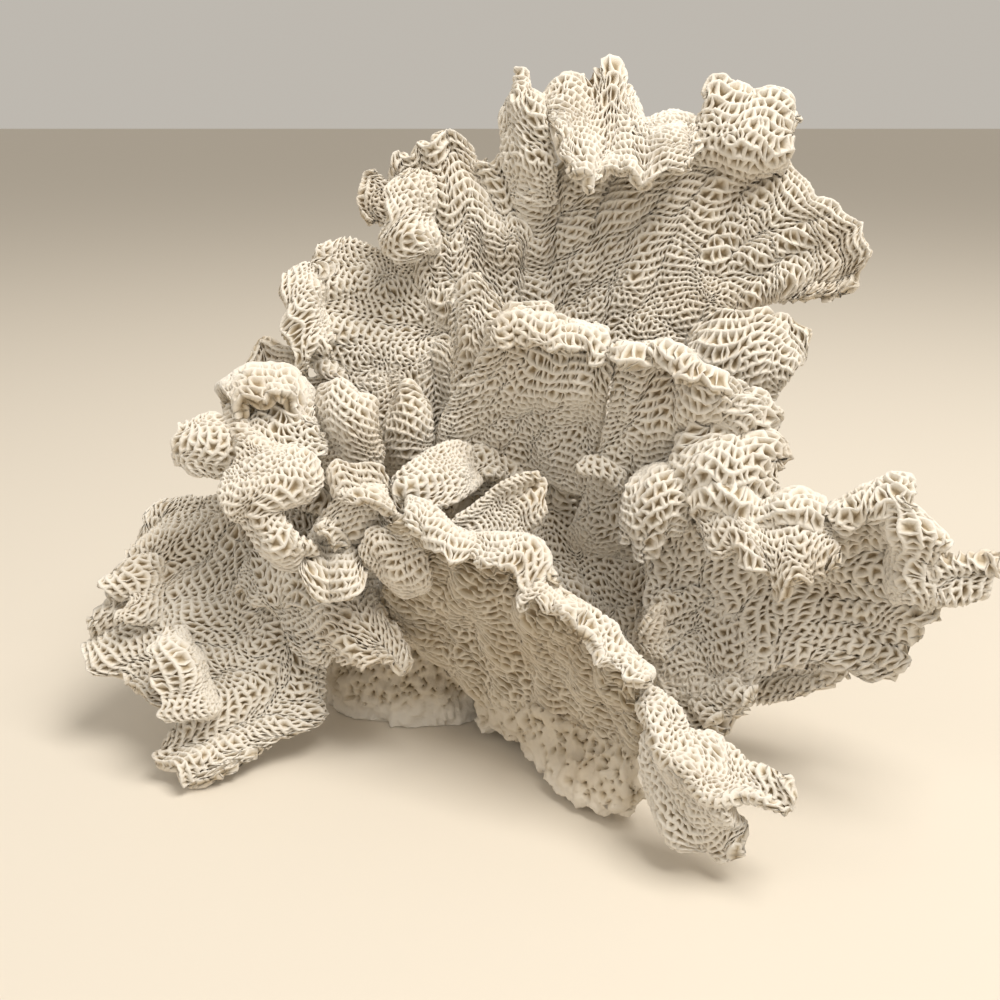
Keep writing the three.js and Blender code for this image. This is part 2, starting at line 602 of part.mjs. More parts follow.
// The stock is a few rounded mounds grown together: centre, then half sizes.
const MOUNDS = [
  [[-36, 3, 0], [46, 42, 82]],
  [[24, 10, 0], [46, 38, 84]],
  [[14, 14, 40], [42, 22, 78]],
  [[-56, -6, 0], [27, 30, 62]],
];
const MOUND_SIDES = 16;
const MOUND_BANDS = 10;
const LUMP_HEIGHT = 0.06;
const CROWN_ROUNDNESS = 0.7;

// An egg shape with low lumps all round it.
function mound([centre, halfSizes], grow) {
  const geometry = new THREE.SphereGeometry(1, MOUND_SIDES, MOUND_BANDS);
  const position = geometry.attributes.position;
  const point = new THREE.Vector3();
  for (let i = 0; i < position.count; i += 1) {
    point.fromBufferAttribute(position, i);
    const lump = 1 + LUMP_HEIGHT * Math.sin(5 * point.x + 2 * point.z) * Math.cos(6 * point.y - point.z);
    const [x, y, z] = halfSizes.map((half) => half + grow);
    const rise = Math.sign(point.y) * Math.abs(point.y) ** CROWN_ROUNDNESS;
    position.setXYZ(i, point.x * x * lump, point.z * y * lump, rise * z * lump);
  }
  geometry.translate(...centre);
  geometry.index.array.reverse();
  return geometry;
}

// Everything below the foot is cut away flat.
const FLOOR_REACH = 600;
const underFoot = toSolid(new THREE.BoxGeometry(FLOOR_REACH, FLOOR_REACH, FLOOR_REACH)
  .translate(0, 0, -FLOOR_REACH / 2));

function grownTogether(solids) {
  return solids.reduce((joined, solid) => joined.add(solid)).subtract(underFoot);
}

function stockSolid(grow) {
  return grownTogether(MOUNDS.map((sizes) => toSolid(mound(sizes, grow))));
}

function frondSolid(plates, grow) {
  return grownTogether(plates.map((shape) => toSolid(plateSkin(shape, grow))));
}

// Where a cut frees a crumb, only the piece itself is kept.
function largestBody(solid) {
  const bodies = solid.decompose();
  return bodies.reduce((largest, body) => (body.volume() > largest.volume() ? body : largest));
}

const coral = new THREE.Group();
const standing = [{ solid: stockSolid(0), grown: stockSolid(GAP) }];

function addPiece(name, solid, colour) {
  const material = new THREE.MeshStandardMaterial({ color: colour, roughness: 0.95, metalness: 0 });
  const mesh = new THREE.Mesh(toGeometry(solid), material);
  mesh.name = name;
  coral.add(mesh);
}

addPiece('stock', standing[0].solid, CORAL_SHADE);

for (const [name, plates] of Object.entries(FRONDS)) {
  const whole = frondSolid(plates, 0);
  const cleared = standing.reduce((solid, neighbour) => solid.subtract(neighbour.grown), whole);
  addPiece(name, largestBody(cleared), CORAL_CREAM);
  standing.push({ solid: whole, grown: frondSolid(plates, GAP) });
}

export default coral;
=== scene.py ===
# A dried lettuce coral that stands on the flat cut at its foot. Metres, +Z up, -Y towards the viewer.
import math

import bpy
import numpy as np
from mathutils.geometry import delaunay_2d_cdt
from mathutils.kdtree import KDTree
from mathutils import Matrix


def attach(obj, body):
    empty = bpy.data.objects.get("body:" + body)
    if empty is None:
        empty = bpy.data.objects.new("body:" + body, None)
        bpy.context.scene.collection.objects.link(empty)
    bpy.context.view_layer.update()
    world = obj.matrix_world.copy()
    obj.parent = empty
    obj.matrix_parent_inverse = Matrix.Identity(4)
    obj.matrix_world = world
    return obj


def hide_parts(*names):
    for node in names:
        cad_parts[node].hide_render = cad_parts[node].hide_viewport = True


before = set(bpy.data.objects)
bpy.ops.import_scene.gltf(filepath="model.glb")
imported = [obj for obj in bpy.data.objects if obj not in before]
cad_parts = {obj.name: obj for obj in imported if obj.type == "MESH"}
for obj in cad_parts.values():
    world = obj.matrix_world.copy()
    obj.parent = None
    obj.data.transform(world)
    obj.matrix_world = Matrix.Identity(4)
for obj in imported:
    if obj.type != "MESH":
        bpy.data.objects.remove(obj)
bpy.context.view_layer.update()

MM = 0.001

# Camera
# It stands where the photograph was taken from: level from side to side, looking down at the coral.
SIGHT_PITCH = math.radians(21.1)
SIGHT_DISTANCE = 400
MIDDLE_HEIGHT = 117
FOOT_MIDDLE_BEHIND = 55
bpy.ops.object.select_all(action="DESELECT")
eye = (
    0,
    (-SIGHT_DISTANCE * math.cos(SIGHT_PITCH) - FOOT_MIDDLE_BEHIND) * MM,
    (MIDDLE_HEIGHT + SIGHT_DISTANCE * math.sin(SIGHT_PITCH)) * MM,
)
bpy.ops.object.camera_add(location=eye, rotation=(math.pi / 2 - SIGHT_PITCH, 0, 0))
camera = bpy.context.object
camera.data.lens = 36
camera.data.sensor_width = 36
camera.data.clip_start = 0.01
bpy.context.scene.camera = camera


# Skeleton material
# Bare aragonite, bleached and dried: chalk white on the thin rims, and painted warmer and darker down
# in the valleys and pits, which is painted shade. It is matt and finely porous, which gives the bump.
def linear(hex_colour):
    channels = [int(hex_colour[i:i + 2], 16) / 255 for i in (1, 3, 5)]
    return [c / 12.92 if c <= 0.04045 else ((c + 0.055) / 1.055) ** 2.4 for c in channels] + [1]


def add_node(tree, kind, settings=None, values=None, links=None):
    node = tree.nodes.new(kind)
    for name, value in (settings or {}).items():
        setattr(node, name, value)
    for name, value in (values or {}).items():
        node.inputs[name].default_value = value
    for name, source in (links or {}).items():
        tree.links.new(source, node.inputs[name])
    return node


# The skeleton's colours. Two of them say how deep they stand, between a crest at 0 and a hollow at 1;
# the deeper ones are painted shade in the valleys and pits. Stain and grain sizes are in millimetres.
CREST_WHITE = "#f0ebe2"
WALL_SHADE_CREAM, WALL_AT = "#e9e2d6", 0.3
FLOOR_SHADE_TAN, FLOOR_AT = "#c3b59d", 0.8
HOLLOW_SHADE_BROWN = "#8d7a5e"
STAIN, STAIN_SIZE, STAIN_STRENGTH = "#e0d3bf", 35, 0.45
PORE_TO_GRAIN, PORE_SHARE = 1.4, 0.6
GRAIN_DEPTH, GRAIN_STRENGTH = 0.35, 0.55
BARE_ROUGHNESS, BARE_SHINE = 0.92, 0.25


def aragonite(name, depth_shade, grain_mm):
    material = bpy.data.materials.new(name)
    material.use_nodes = True
    tree = material.node_tree
    shader = tree.nodes["Principled BSDF"]
    spot = {"Vector": add_node(tree, "ShaderNodeTexCoord").outputs["Object"]}
    hollow = add_node(tree, "ShaderNodeAttribute", {"attribute_name": "hollow"}).outputs["Fac"]
    # The valleys and pits darken and warm with their depth, which is painted shade.
    tint = add_node(tree, "ShaderNodeValToRGB", links={"Fac": hollow})
    ramp = tint.color_ramp
    ramp.elements[0].color = linear(CREST_WHITE)
    ramp.elements[1].color = linear(depth_shade)
    ramp.elements.new(WALL_AT).color = linear(WALL_SHADE_CREAM)
    ramp.elements.new(FLOOR_AT).color = linear(FLOOR_SHADE_TAN)
    cloud = add_node(tree, "ShaderNodeTexNoise", values={"Scale": 1000 / STAIN_SIZE, "Detail": 4}, links=spot)
    patch = add_node(tree, "ShaderNodeMapRange",
                     values={"From Min": 0.5, "From Max": 0.8, "To Max": STAIN_STRENGTH},
                     links={"Value": cloud.outputs["Fac"]})
    # A colour Mix node's sockets go by number: 0 the factor, 6 and 7 the colours, 2 the result.
    stained = add_node(tree, "ShaderNodeMix", {"data_type": "RGBA", "blend_type": "MULTIPLY"},
                       {7: linear(STAIN)}, {0: patch.outputs["Result"], 6: tint.outputs["Color"]})
    tree.links.new(stained.outputs[2], shader.inputs["Base Color"])
    shader.inputs["Roughness"].default_value = BARE_ROUGHNESS
    shader.inputs["Specular IOR Level"].default_value = BARE_SHINE
    grain = add_node(tree, "ShaderNodeTexNoise", links=spot,
                     values={"Scale": 1000 / grain_mm, "Detail": 5, "Roughness": 0.7})
    pores = add_node(tree, "ShaderNodeTexVoronoi", values={"Scale": 1000 / (grain_mm * PORE_TO_GRAIN)},
                     links=spot)
    rough = add_node(tree, "ShaderNodeMath", {"operation": "MULTIPLY_ADD"}, {1: PORE_SHARE},
                     {0: pores.outputs["Distance"], 2: grain.outputs["Fac"]})
    bump = add_node(tree, "ShaderNodeBump", values={"Strength": GRAIN_STRENGTH, "Distance": GRAIN_DEPTH * MM},
                    links={"Height": rough.outputs["Value"]})
    tree.links.new(bump.outputs["Normal"], shader.inputs["Normal"])
    return material


chalk = aragonite("bleached aragonite skeleton", HOLLOW_SHADE_BROWN, 0.9)


# Back fan
# The tallest plate of the colony. It grew upwards from the stock in one thin sheet, and its margin
# is thrown into horns, a rolled lip and a round cap. Its faces carry rows of valleys.
def place(point):
    """The frame's millimetres for a guide point: right, up and behind, as the camera sees it."""
    right, up, behind = point
    spread = 1 + behind / SIGHT_DISTANCE
    sin, cos = math.sin(SIGHT_PITCH), math.cos(SIGHT_PITCH)
    return (
        right * spread,
        up * spread * sin + behind * cos - FOOT_MIDDLE_BEHIND,
        MIDDLE_HEIGHT + up * spread * cos - behind * sin,
    )


def plate(name, thickness, *rows, to_frame=place):
    """Rows of guide points from root to margin, with the thickness at both. The name's first word may say
    how its skin differs: under (its outside shows), broad (wide valleys) or worn."""
    return {"kind": name.split()[0], "thickness": thickness,
            "rows": [[to_frame(point) for point in row] for row in rows]}


def unit(vectors):
    return vectors / np.maximum(np.linalg.norm(vectors, axis=-1, keepdims=True), 1e-9)


def even_curve(points, count):
    """A centripetal curve through points, a list of arrays (..., 3), at count even steps of its length."""
    P = np.asarray(points, float)
    if len(P) == 2:
        t = np.linspace(0, 1, count).reshape([-1] + [1] * (P.ndim - 1))
        return P[0] * (1 - t) + P[1] * t
    P = np.concatenate([[2 * P[0] - P[1]], P, [2 * P[-1] - P[-2]]])
    knots = np.maximum(np.linalg.norm(np.diff(P, axis=0), axis=-1, keepdims=True) ** 0.5, 1e-4)
    steps = np.linspace(0, 1, 16, endpoint=False)
    dense = []
    for i in range(1, len(P) - 2):
        p0, p1, p2, p3 = P[i - 1:i + 3]
        d0, d1, d2 = knots[i - 1:i + 2]
        m1 = ((p1 - p0) / d0 - (p2 - p0) / (d0 + d1) + (p2 - p1) / d1) * d1
        m2 = ((p2 - p1) / d1 - (p3 - p1) / (d1 + d2) + (p3 - p2) / d2) * d1
        for t in steps:
            start = p1 + m1 * t + (3 * (p2 - p1) - 2 * m1 - m2) * t ** 2
            dense.append(start + (2 * (p1 - p2) + m1 + m2) * t ** 3)
    dense = np.array(dense + [P[-2]])
    lengths = np.cumsum(np.linalg.norm(np.diff(dense, axis=0), axis=-1), axis=0)
    lengths = np.concatenate([np.zeros_like(lengths[:1]), lengths])
    flat = dense.reshape(len(dense), -1, 3)
    flat_lengths = lengths.reshape(len(dense), -1)
    even = np.stack([
        np.stack([np.interp(np.linspace(0, L[-1], count), L, line[:, axis]) for axis in range(3)], -1)
        for line, L in zip(np.moveaxis(flat, 1, 0), flat_lengths.T)
    ], 1)
    return even.reshape((count,) + P.shape[1:])


def ripple(x, y, seed, wave):
    """Seven smooth seeded waves of about one length laid over each other, between about -1 and 1."""
    rng = np.random.default_rng(seed)
    total = 0
    for _ in range(7):
        angle, phase = rng.uniform(0, 2 * np.pi, 2)
        k = 2 * np.pi / (wave * rng.uniform(0.75, 1.4))
        total = total + np.sin(k * (np.cos(angle) * x + np.sin(angle) * y) + phase)
    return total / 3.2


# How the surface leaves its guide points: the height of each kind of wave, then its length.
SURFACE_STEP = 1.5
LUMP, FINE_LUMP = (1.3, 26), (0.5, 11)
RUFFLE, FRILL = (3.6, 17), (2.0, 8)
LOBE, NICK = (2.8, 16), (1.9, 7)
CORNER_ROUND = 9


def leaf_surface(shape, seed):
    """The plate's middle surface on a fine grid, lumpy and ruffled, with its normals and real lengths."""
    rows = shape["rows"]
    longest = max(np.linalg.norm(np.diff(np.array(r), axis=0), axis=1).sum() for r in rows)
    columns = max(12, int(longest * 1.15 / SURFACE_STEP))
    guides = [even_curve(row, columns) for row in rows]
    reach = np.linalg.norm(np.diff(np.array(guides), axis=0), axis=-1).sum(0).mean()
    lines = max(10, int(reach / SURFACE_STEP))
    grid = even_curve(guides, lines)

    def normals(g):
        return unit(np.cross(np.gradient(g, axis=1), np.gradient(g, axis=0)))

    # The upper face, the one with the pits, is the one that looks towards the viewpoint.
    if (normals(grid) * (np.array(eye) / MM - grid)).sum() < 0:
        grid = grid[:, ::-1]
    width = np.linalg.norm(np.diff(grid, axis=1), axis=-1).sum(1)
    u = np.linspace(0, 1, columns)[None, :]
    v = np.linspace(0, 1, lines)[:, None]
    x = (u - 0.5) * width.mean()
    y = v * reach

    def waves(kind, stretch, number):
        height, wave = kind
        return height * ripple(x, y * stretch, seed + number, wave)

    lump = waves(LUMP, 1, 0) + waves(FINE_LUMP, 1, 1)
    ruffle = waves(RUFFLE, 0.3, 2) * v ** 3 + waves(FRILL, 0.2, 5) * v ** 5
    grid = grid + normals(grid) * (lump + ruffle)[..., None]
    # The margin is lobed, and each end of it is rounded off.
    round_off = min(CORNER_ROUND, 0.22 * width[-1], 0.3 * reach)
    to_end = np.clip(1 - np.minimum(u, 1 - u) * width[-1] / max(round_off, 1), 0, 1)
    fall = round_off * (1 - np.sqrt(1 - to_end ** 2))
    lobe = waves(LOBE, 0, 3) + waves(NICK, 0, 4)
    outwards = unit(np.gradient(grid, axis=0))
    grid = grid + outwards * (lobe * v ** 4 - fall * v ** 3)[..., None]
    return {"grid": grid, "normal": normals(grid), "width": width, "reach": reach}


def sample(field, u, v):
    lines, columns = field.shape[:2]
    x = np.clip(u, 0, 1) * (columns - 1)
    y = np.clip(v, 0, 1) * (lines - 1)
    i = np.minimum(x.astype(int), columns - 2)
    j = np.minimum(y.astype(int), lines - 2)
    a = (x - i)[:, None]
    b = (y - j)[:, None]
    top = field[j, i] * (1 - a) + field[j, i + 1] * a
    bottom = field[j + 1, i] * (1 - a) + field[j + 1, i + 1] * a
    return top * (1 - b) + bottom * b


def width_at(surface, v):
    return np.interp(v, np.linspace(0, 1, len(surface["width"])), surface["width"])


# How far apart the rows of polyps are, and the polyps in a row, in millimetres, on the upper face and on
# the outer one. A plain plate has pits above and lines outside, and its rows stand wider at the margin.
PITTED = (2.75, 2.4)
OUTER_LINES = (2.1, 8.5)
SHORT_LINES = (2.1, 4.2)
WIDE_PITS = (3.6, 2.9)
WORN_PITS = (2.5, 2.2)
WEAVES = {
    "broad": (WIDE_PITS, OUTER_LINES),
    "worn": (WORN_PITS, WORN_PITS),
    "under": (SHORT_LINES, WIDE_PITS),
}
MARGIN_OPENING = 0.14
MEANDER, MEANDER_WAVE = 6.5, 24
JITTER = 0.38
ROW_END = 0.35


def polyp_rows(surface, spacing, length, seed, rng):
    """Rows of polyp centres along the margin: each is (v, us, vs, row number). The inner rows meander."""
    reach = surface["reach"]
    row_count = max(3, round(reach / spacing))
    rows = []
    for j in range(row_count + 1):
        v = j / row_count
        v = (1 - MARGIN_OPENING) * v + MARGIN_OPENING * v * v
        width = width_at(surface, v)
        count = max(3, round(width / length))
        us = (np.arange(count) + (j % 2) / 2 + rng.uniform(-JITTER, JITTER, count)) / count
        us = np.sort(us[(us > ROW_END / count) & (us < 1 - ROW_END / count)])
        if j in (0, row_count):
            off_row = 0 * us
        else:
            middle = 4 * v * (1 - v) * np.clip(6 * us * (1 - us), 0, 1)
            sway = ripple(us * width, 0.4 * v * reach, seed + 6, MEANDER_WAVE)
            off_row = MEANDER / reach * middle * sway
            off_row = off_row + rng.uniform(-JITTER, JITTER, len(us)) * (1 - v) / row_count
        rows.append((v, us, v + off_row, j))
    return rows


def face_triangles(surface, outline, inside, slenderness):
    """Joins polyp centres into triangles over the plate laid out flat, and squeezed so that long cells
    count as round."""
    seeds = np.array(outline + inside)
    width = width_at(surface, seeds[:, 1])
    flat = np.stack([(seeds[:, 0] - 0.5) * width * slenderness, seeds[:, 1] * surface["reach"]], 1)
    found = delaunay_2d_cdt([tuple(p) for p in flat], [], [list(range(len(outline)))], 1, 1e-5)
    first = np.array([o[0] if o else 0 for o in found[3]])
    return seeds, first[np.array([f for f in found[2] if len(f) == 3])]


def leaf_cells(shape, seed):
    """Polyp centres on both faces of a plate, as (u, v, row), the triangles between them, and the side
    of each, 1 for the upper face and -1 for the outer one."""
    rng = np.random.default_rng(seed)
    surface = leaf_surface(shape, seed)
    weaves = WEAVES.get(shape["kind"], (PITTED, OUTER_LINES))
    rows = polyp_rows(surface, *weaves[0], seed, rng)
    last = len(rows) - 1
    outline = [(0.0, 0.0, 0)] + [(u, 0.0, 0) for u in rows[0][1]]
    outline += [(1.0, row[0], row[3]) for row in rows]
    outline += [(u, 1.0, last) for u in rows[-1][1][::-1]]
    outline += [(0.0, row[0], row[3]) for row in rows[:0:-1]]
    faces = []
    for face, weave in enumerate(weaves):
        if face:
            rows = polyp_rows(surface, *weave, seed, rng)
        inside = [(u, v, row[3]) for row in rows[1:-1] for u, v in zip(row[1], row[2])]
        faces.append(face_triangles(surface, outline, inside, weave[0] / weave[1]))
    (front, front_tris), (back, back_tris) = faces
    edge = len(outline)
    back_tris = np.where(back_tris < edge, back_tris, back_tris + len(front) - edge)[:, ::-1]
    seeds = np.concatenate([front, back[edge:]])
    triangles = np.concatenate([front_tris, back_tris])
    seed_side = np.concatenate([np.ones(len(front)), -np.ones(len(back) - edge)])
    side = np.concatenate([np.ones(len(front_tris)), -np.ones(len(back_tris))])
    return surface, seeds, seed_side, triangles, side


MARGIN_ROUND = 2.6
# Where half of the thickness is under THIN, the relief shrinks with it, down to the share THIN_RELIEF.
THIN, THIN_RELIEF = 3.0, 0.45
LOOK_ASIDE = 0.01


def leaf_places(surface, shape, u, v, side):
    """Where a point of one face lies, and which way it looks, with the margins rounded off."""
    root, rim = shape["thickness"]
    half = (root + (rim - root) * v) / 2
    width, reach = width_at(surface, v), surface["reach"]
    distances = np.stack([u * width, (1 - u) * width, v * reach, (1 - v) * reach])
    near = np.clip(1 - distances / MARGIN_ROUND, 0, 1)
    edge = np.clip(np.sqrt((near ** 2).sum(0)), 0, 1)
    half = half * np.sqrt(1 - edge ** 2)
    side = side[:, None]
    grid = surface["grid"]
    point = sample(grid, u, v)
    normal = sample(surface["normal"], u, v)
    along = unit(sample(grid, u + LOOK_ASIDE, v) - sample(grid, u - LOOK_ASIDE, v))
    across = unit(sample(grid, u, v + LOOK_ASIDE) - sample(grid, u, v - LOOK_ASIDE))
    out = (near[1] - near[0])[:, None] * along + (near[3] - near[2])[:, None] * across
    facing = unit(side * normal * np.sqrt(1 - edge ** 2)[:, None] + out)
    return point + side * half[:, None] * normal, facing, np.clip(half / THIN, THIN_RELIEF, 1)


CREST_HEIGHT = 0.95
FLOOR_DEPTH, FLOOR_SPREAD = 2.7, (0.8, 1.1)
# How high a wall stands, as a share of CREST_HEIGHT: along a row, between rows, where it has broken away,
# and between the polyps of one line on an outer face, where none grew.
CROSS_RISE = (-0.1, 0.9)
ROW_RISE = (0.6, 1.15)
BROKEN_RISE, BROKEN_SHARE = -0.7, 0.05
LINE_RISE = -2.2
MARGIN_FALL = 1.3
RISE_JITTER = 0.12
WALL_SWAY = 0.2
WALL_HALF, BROAD_WALL_HALF = 0.8, 0.95
WALL_REACH = 0.42
# Each step of a valley wall: how far in from the crest, then how high between floor and crest.
WALL_STEPS = [(1.0, 0.84), (1.9, 0.14)]
# The relief of outer faces and worn plates against a pitted face, and the dust that outer faces hold.
# A shown one is an outer face that looks towards the viewpoint. Its darker, browner tone is dust and
# painted shade, as that face looks down, away from the light above.
OUTER_RELIEF, SHOWN_RELIEF, WORN_RELIEF = 0.42, 0.62, 0.8
OUTER_DUST, SHOWN_DUST_AND_SHADE, DUSTY_SHADE = 0.16, 0.5, 0.5
# How much darker a crest is painted where it stands below full height: painted shade.
CREST_SHADE = 0.15
# Towards the margin the walls along a row fall away, so that its valleys run out open.
OPENING_RATE, OPENING_START = 1.6, 0.7


def coral_skin(triangles, rows, openness, lined, middle, facing, relief, centres, ways, wall_half, dust_and_shade, rng):
    """Turns polyp centres into walled cells: sharp shared crests round a pit for each polyp."""
    count = len(triangles)
    corner_seed = triangles.reshape(-1)
    after = np.roll(triangles, -1, axis=1).reshape(-1)
    before = np.roll(triangles, 1, axis=1).reshape(-1)
    size = len(centres)
    key = corner_seed * size + after
    order = np.argsort(key)
    follow = order[np.searchsorted(key[order], corner_seed * size + before)]
    low, high = np.minimum(corner_seed, before), np.maximum(corner_seed, before)
    _, wall_first, wall = np.unique(low * size + high, return_index=True, return_inverse=True)
    here = np.repeat(np.arange(count), 3)
    there = follow // 3
    walls = len(wall_first)
    a, b = here[wall_first], there[wall_first]
    cross = rows[low[wall_first]] == rows[high[wall_first]]
    open_here = openness[low[wall_first]]
    rise = np.where(cross, rng.uniform(*CROSS_RISE, walls) - MARGIN_FALL * open_here,
                    rng.uniform(*ROW_RISE, walls))
    rise = np.where(rng.uniform(size=walls) < BROKEN_SHARE, BROKEN_RISE, rise)
    rise = np.where(cross & lined[a], LINE_RISE, rise)
    # A corner stands nearly as high as the highest of its three walls.
    highest, total = np.full(count, -9.0), np.zeros(count)
    for end in (a, b):
        np.maximum.at(highest, end, rise)
        np.add.at(total, end, rise)
    corner_rise = 0.65 * highest + 0.35 * total / 3 + rng.uniform(-RISE_JITTER, RISE_JITTER, count)
    wall_facing = unit(facing[a] + facing[b])
    span = middle[b] - middle[a]
    aside = np.cross(span, wall_facing) * rng.uniform(-WALL_SWAY, WALL_SWAY, walls)[:, None]
    wall_middle = (middle[a] + middle[b]) / 2 + aside
    wall_relief = (relief[a] + relief[b]) / 2

    corner_crest = middle + facing * (CREST_HEIGHT * corner_rise * relief)[:, None]
    wall_crest = wall_middle + wall_facing * (CREST_HEIGHT * rise * wall_relief)[:, None]
    seed_relief, tally = np.zeros(size), np.zeros(size)
    np.add.at(seed_relief, corner_seed, relief[here])
    np.add.at(tally, corner_seed, 1)
    seed_relief /= np.maximum(tally, 1)
    bottoms = -FLOOR_DEPTH * rng.uniform(*FLOOR_SPREAD, size)
    centre = centres + ways * (bottoms * seed_relief)[:, None]

    # Each point's hollow value paints it darker the deeper it lies in its cell, which is painted shade.
    vertices = [corner_crest, wall_crest]
    hollow = [CREST_SHADE * (1 - corner_rise), CREST_SHADE * (1 - rise)]
    start = count + walls
    at_corner = (middle[here], facing[here], corner_rise[here], relief[here])
    at_wall = (wall_middle[wall], wall_facing[wall], rise[wall], wall_relief[wall])
    rings = [(WALL_STEPS[0], at_corner), (WALL_STEPS[0], at_wall), (WALL_STEPS[1], at_corner)]
    ring_starts = []
    for (inset, share), (at, way, height, ring_relief) in rings:
        to_centre = centres[corner_seed] - at
        far = np.maximum(np.linalg.norm(to_centre, axis=1, keepdims=True), 1e-6)
        reach = np.minimum(wall_half * inset, far * (WALL_REACH * inset))
        low_point = bottoms[corner_seed]
        level = low_point + (height * CREST_HEIGHT - low_point) * share
        vertices.append(at + to_centre / far * reach + way * (level * ring_relief)[:, None])
        hollow.append(1 - share + CREST_SHADE * (1 - height) * share)
        ring_starts.append(start)
        start += len(here)
    vertices.append(centre)
    hollow.append(np.ones(size))
    lined_seed = np.zeros(size, bool)
    np.logical_or.at(lined_seed, corner_seed, lined[here])
    # Outer faces get a darker, browner base: dust, and on a shown face painted shade as well.
    dust_and_shade_held = [lined, lined[a] | lined[b], lined[here], lined[here], lined[here], lined_seed]
    hollow = [np.where(held, dust_and_shade + DUSTY_SHADE * shade, shade) for shade, held in zip(hollow, dust_and_shade_held)]

    upper_corner, upper_wall, lower = (ring + np.arange(len(here)) for ring in ring_starts)
    next_corner, next_lower = ring_starts[0] + follow, ring_starts[2] + follow
    quads = np.concatenate([
        np.stack([here, count + wall, upper_wall, upper_corner], 1),
        np.stack([count + wall, there, next_corner, upper_wall], 1),
    ])
    tris = np.concatenate([
        np.stack([upper_corner, upper_wall, lower], 1),
        np.stack([upper_wall, next_lower, lower], 1),
        np.stack([upper_wall, next_corner, next_lower], 1),
        np.stack([lower, next_lower, start + corner_seed], 1),
    ])
    return np.concatenate(vertices), np.clip(np.concatenate(hollow), 0, 1), quads, tris


def leaf_skin(shape, seed):
    surface, seeds, seed_side, triangles, side = leaf_cells(shape, seed)
    rng = np.random.default_rng(seed + 7)
    # A corner between two rows lies half way between them, so that a ridge runs on smoothly.
    row = seeds[triangles, 2]
    upper = row > row.min(1, keepdims=True)
    share = np.where(upper, 0.5 / np.maximum(upper.sum(1, keepdims=True), 1),
                     0.5 / np.maximum((~upper).sum(1, keepdims=True), 1))
    share = np.where(upper.any(1)[:, None], share, 1 / 3)
    middle_u, middle_v = (seeds[triangles, :2] * share[..., None]).sum(1).T
    middle, facing, relief = leaf_places(surface, shape, middle_u, middle_v, side)
    centres, ways, _ = leaf_places(surface, shape, seeds[:, 0], seeds[:, 1], seed_side)
    kind = shape["kind"]
    lined = (side == (1 if kind == "under" else -1)) & (kind != "worn")
    relief = np.where(lined, SHOWN_RELIEF if kind == "under" else OUTER_RELIEF, 1) * relief
    relief = relief * (WORN_RELIEF if kind == "worn" else 1)
    openness = np.clip(OPENING_RATE * seeds[:, 1] - OPENING_START, 0, 1)
    wall_half = BROAD_WALL_HALF if kind == "broad" else WALL_HALF
    # A shown face's base is dust and painted shade; any other outer face holds dust only.
    dust_and_shade = SHOWN_DUST_AND_SHADE if kind == "under" else OUTER_DUST
    return coral_skin(triangles, seeds[:, 2], openness, lined, middle, facing, relief, centres, ways,
                      wall_half, dust_and_shade, rng)


def read(items, name, size=1, kind=float):
    """One property of a mesh's vertices, corners or faces, as an array."""
    values = np.empty(len(items) * size, kind)
    items.foreach_get(name, values)
    return values.reshape(-1, size).squeeze()


def grow(node, seed, *plates, name=None, material=chalk):
    """Makes the piece that stands for a node: a skin over each plate, joined, and cut flat at the floor."""
    skins, offset = [], 0
    for number, shape in enumerate(plates):
        points, shade, four, three = leaf_skin(shape, seed + number)
        skins.append((points, shade, four + offset, three + offset))
        offset += len(points)
    points, shade, four, three = (np.concatenate(part) for part in zip(*skins))
    points = points * MM
    points[:, 2] = np.maximum(points[:, 2], 0)
    used = np.zeros(len(points), bool)
    used[four] = True
    used[three] = True
    renumber = np.cumsum(used) - 1
    points, shade, four, three = points[used], shade[used], renumber[four], renumber[three]
    name = name or node + "_skin"
    mesh = bpy.data.meshes.new(name)
    mesh.vertices.add(len(points))
    mesh.vertices.foreach_set("co", points.ravel())
    mesh.loops.add(four.size + three.size)
    mesh.loops.foreach_set("vertex_index", np.concatenate([four.ravel(), three.ravel()]))
    mesh.polygons.add(len(four) + len(three))
    starts = np.concatenate([np.arange(len(four)) * 4, four.size + np.arange(len(three)) * 3])
    mesh.polygons.foreach_set("loop_start", starts)
    mesh.update(calc_edges=True)
    mesh.validate()
    mesh.attributes.new("hollow", "FLOAT", "POINT").data.foreach_set("value", shade)
    mesh.materials.append(material)
    piece = bpy.data.objects.new(name, mesh)
    bpy.context.collection.objects.link(piece)
    bpy.ops.object.select_all(action="DESELECT")
    piece.select_set(True)
    bpy.context.view_layer.objects.active = piece
    bpy.ops.object.shade_smooth()
    # Faces that lie on the floor are flat, so that the rim of the cut stays sharp.
    lying = read(mesh.vertices, "co", 3)[:, 2] <= 0
    corners = read(mesh.loops, "vertex_index", kind=int)
    first = read(mesh.polygons, "loop_start", kind=int)
    on_floor = lying[corners[first[:, None] + np.arange(3)]].all(1)
    mesh.polygons.foreach_set("use_smooth", ~on_floor)
    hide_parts(node)
    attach(piece, "root")
    return piece


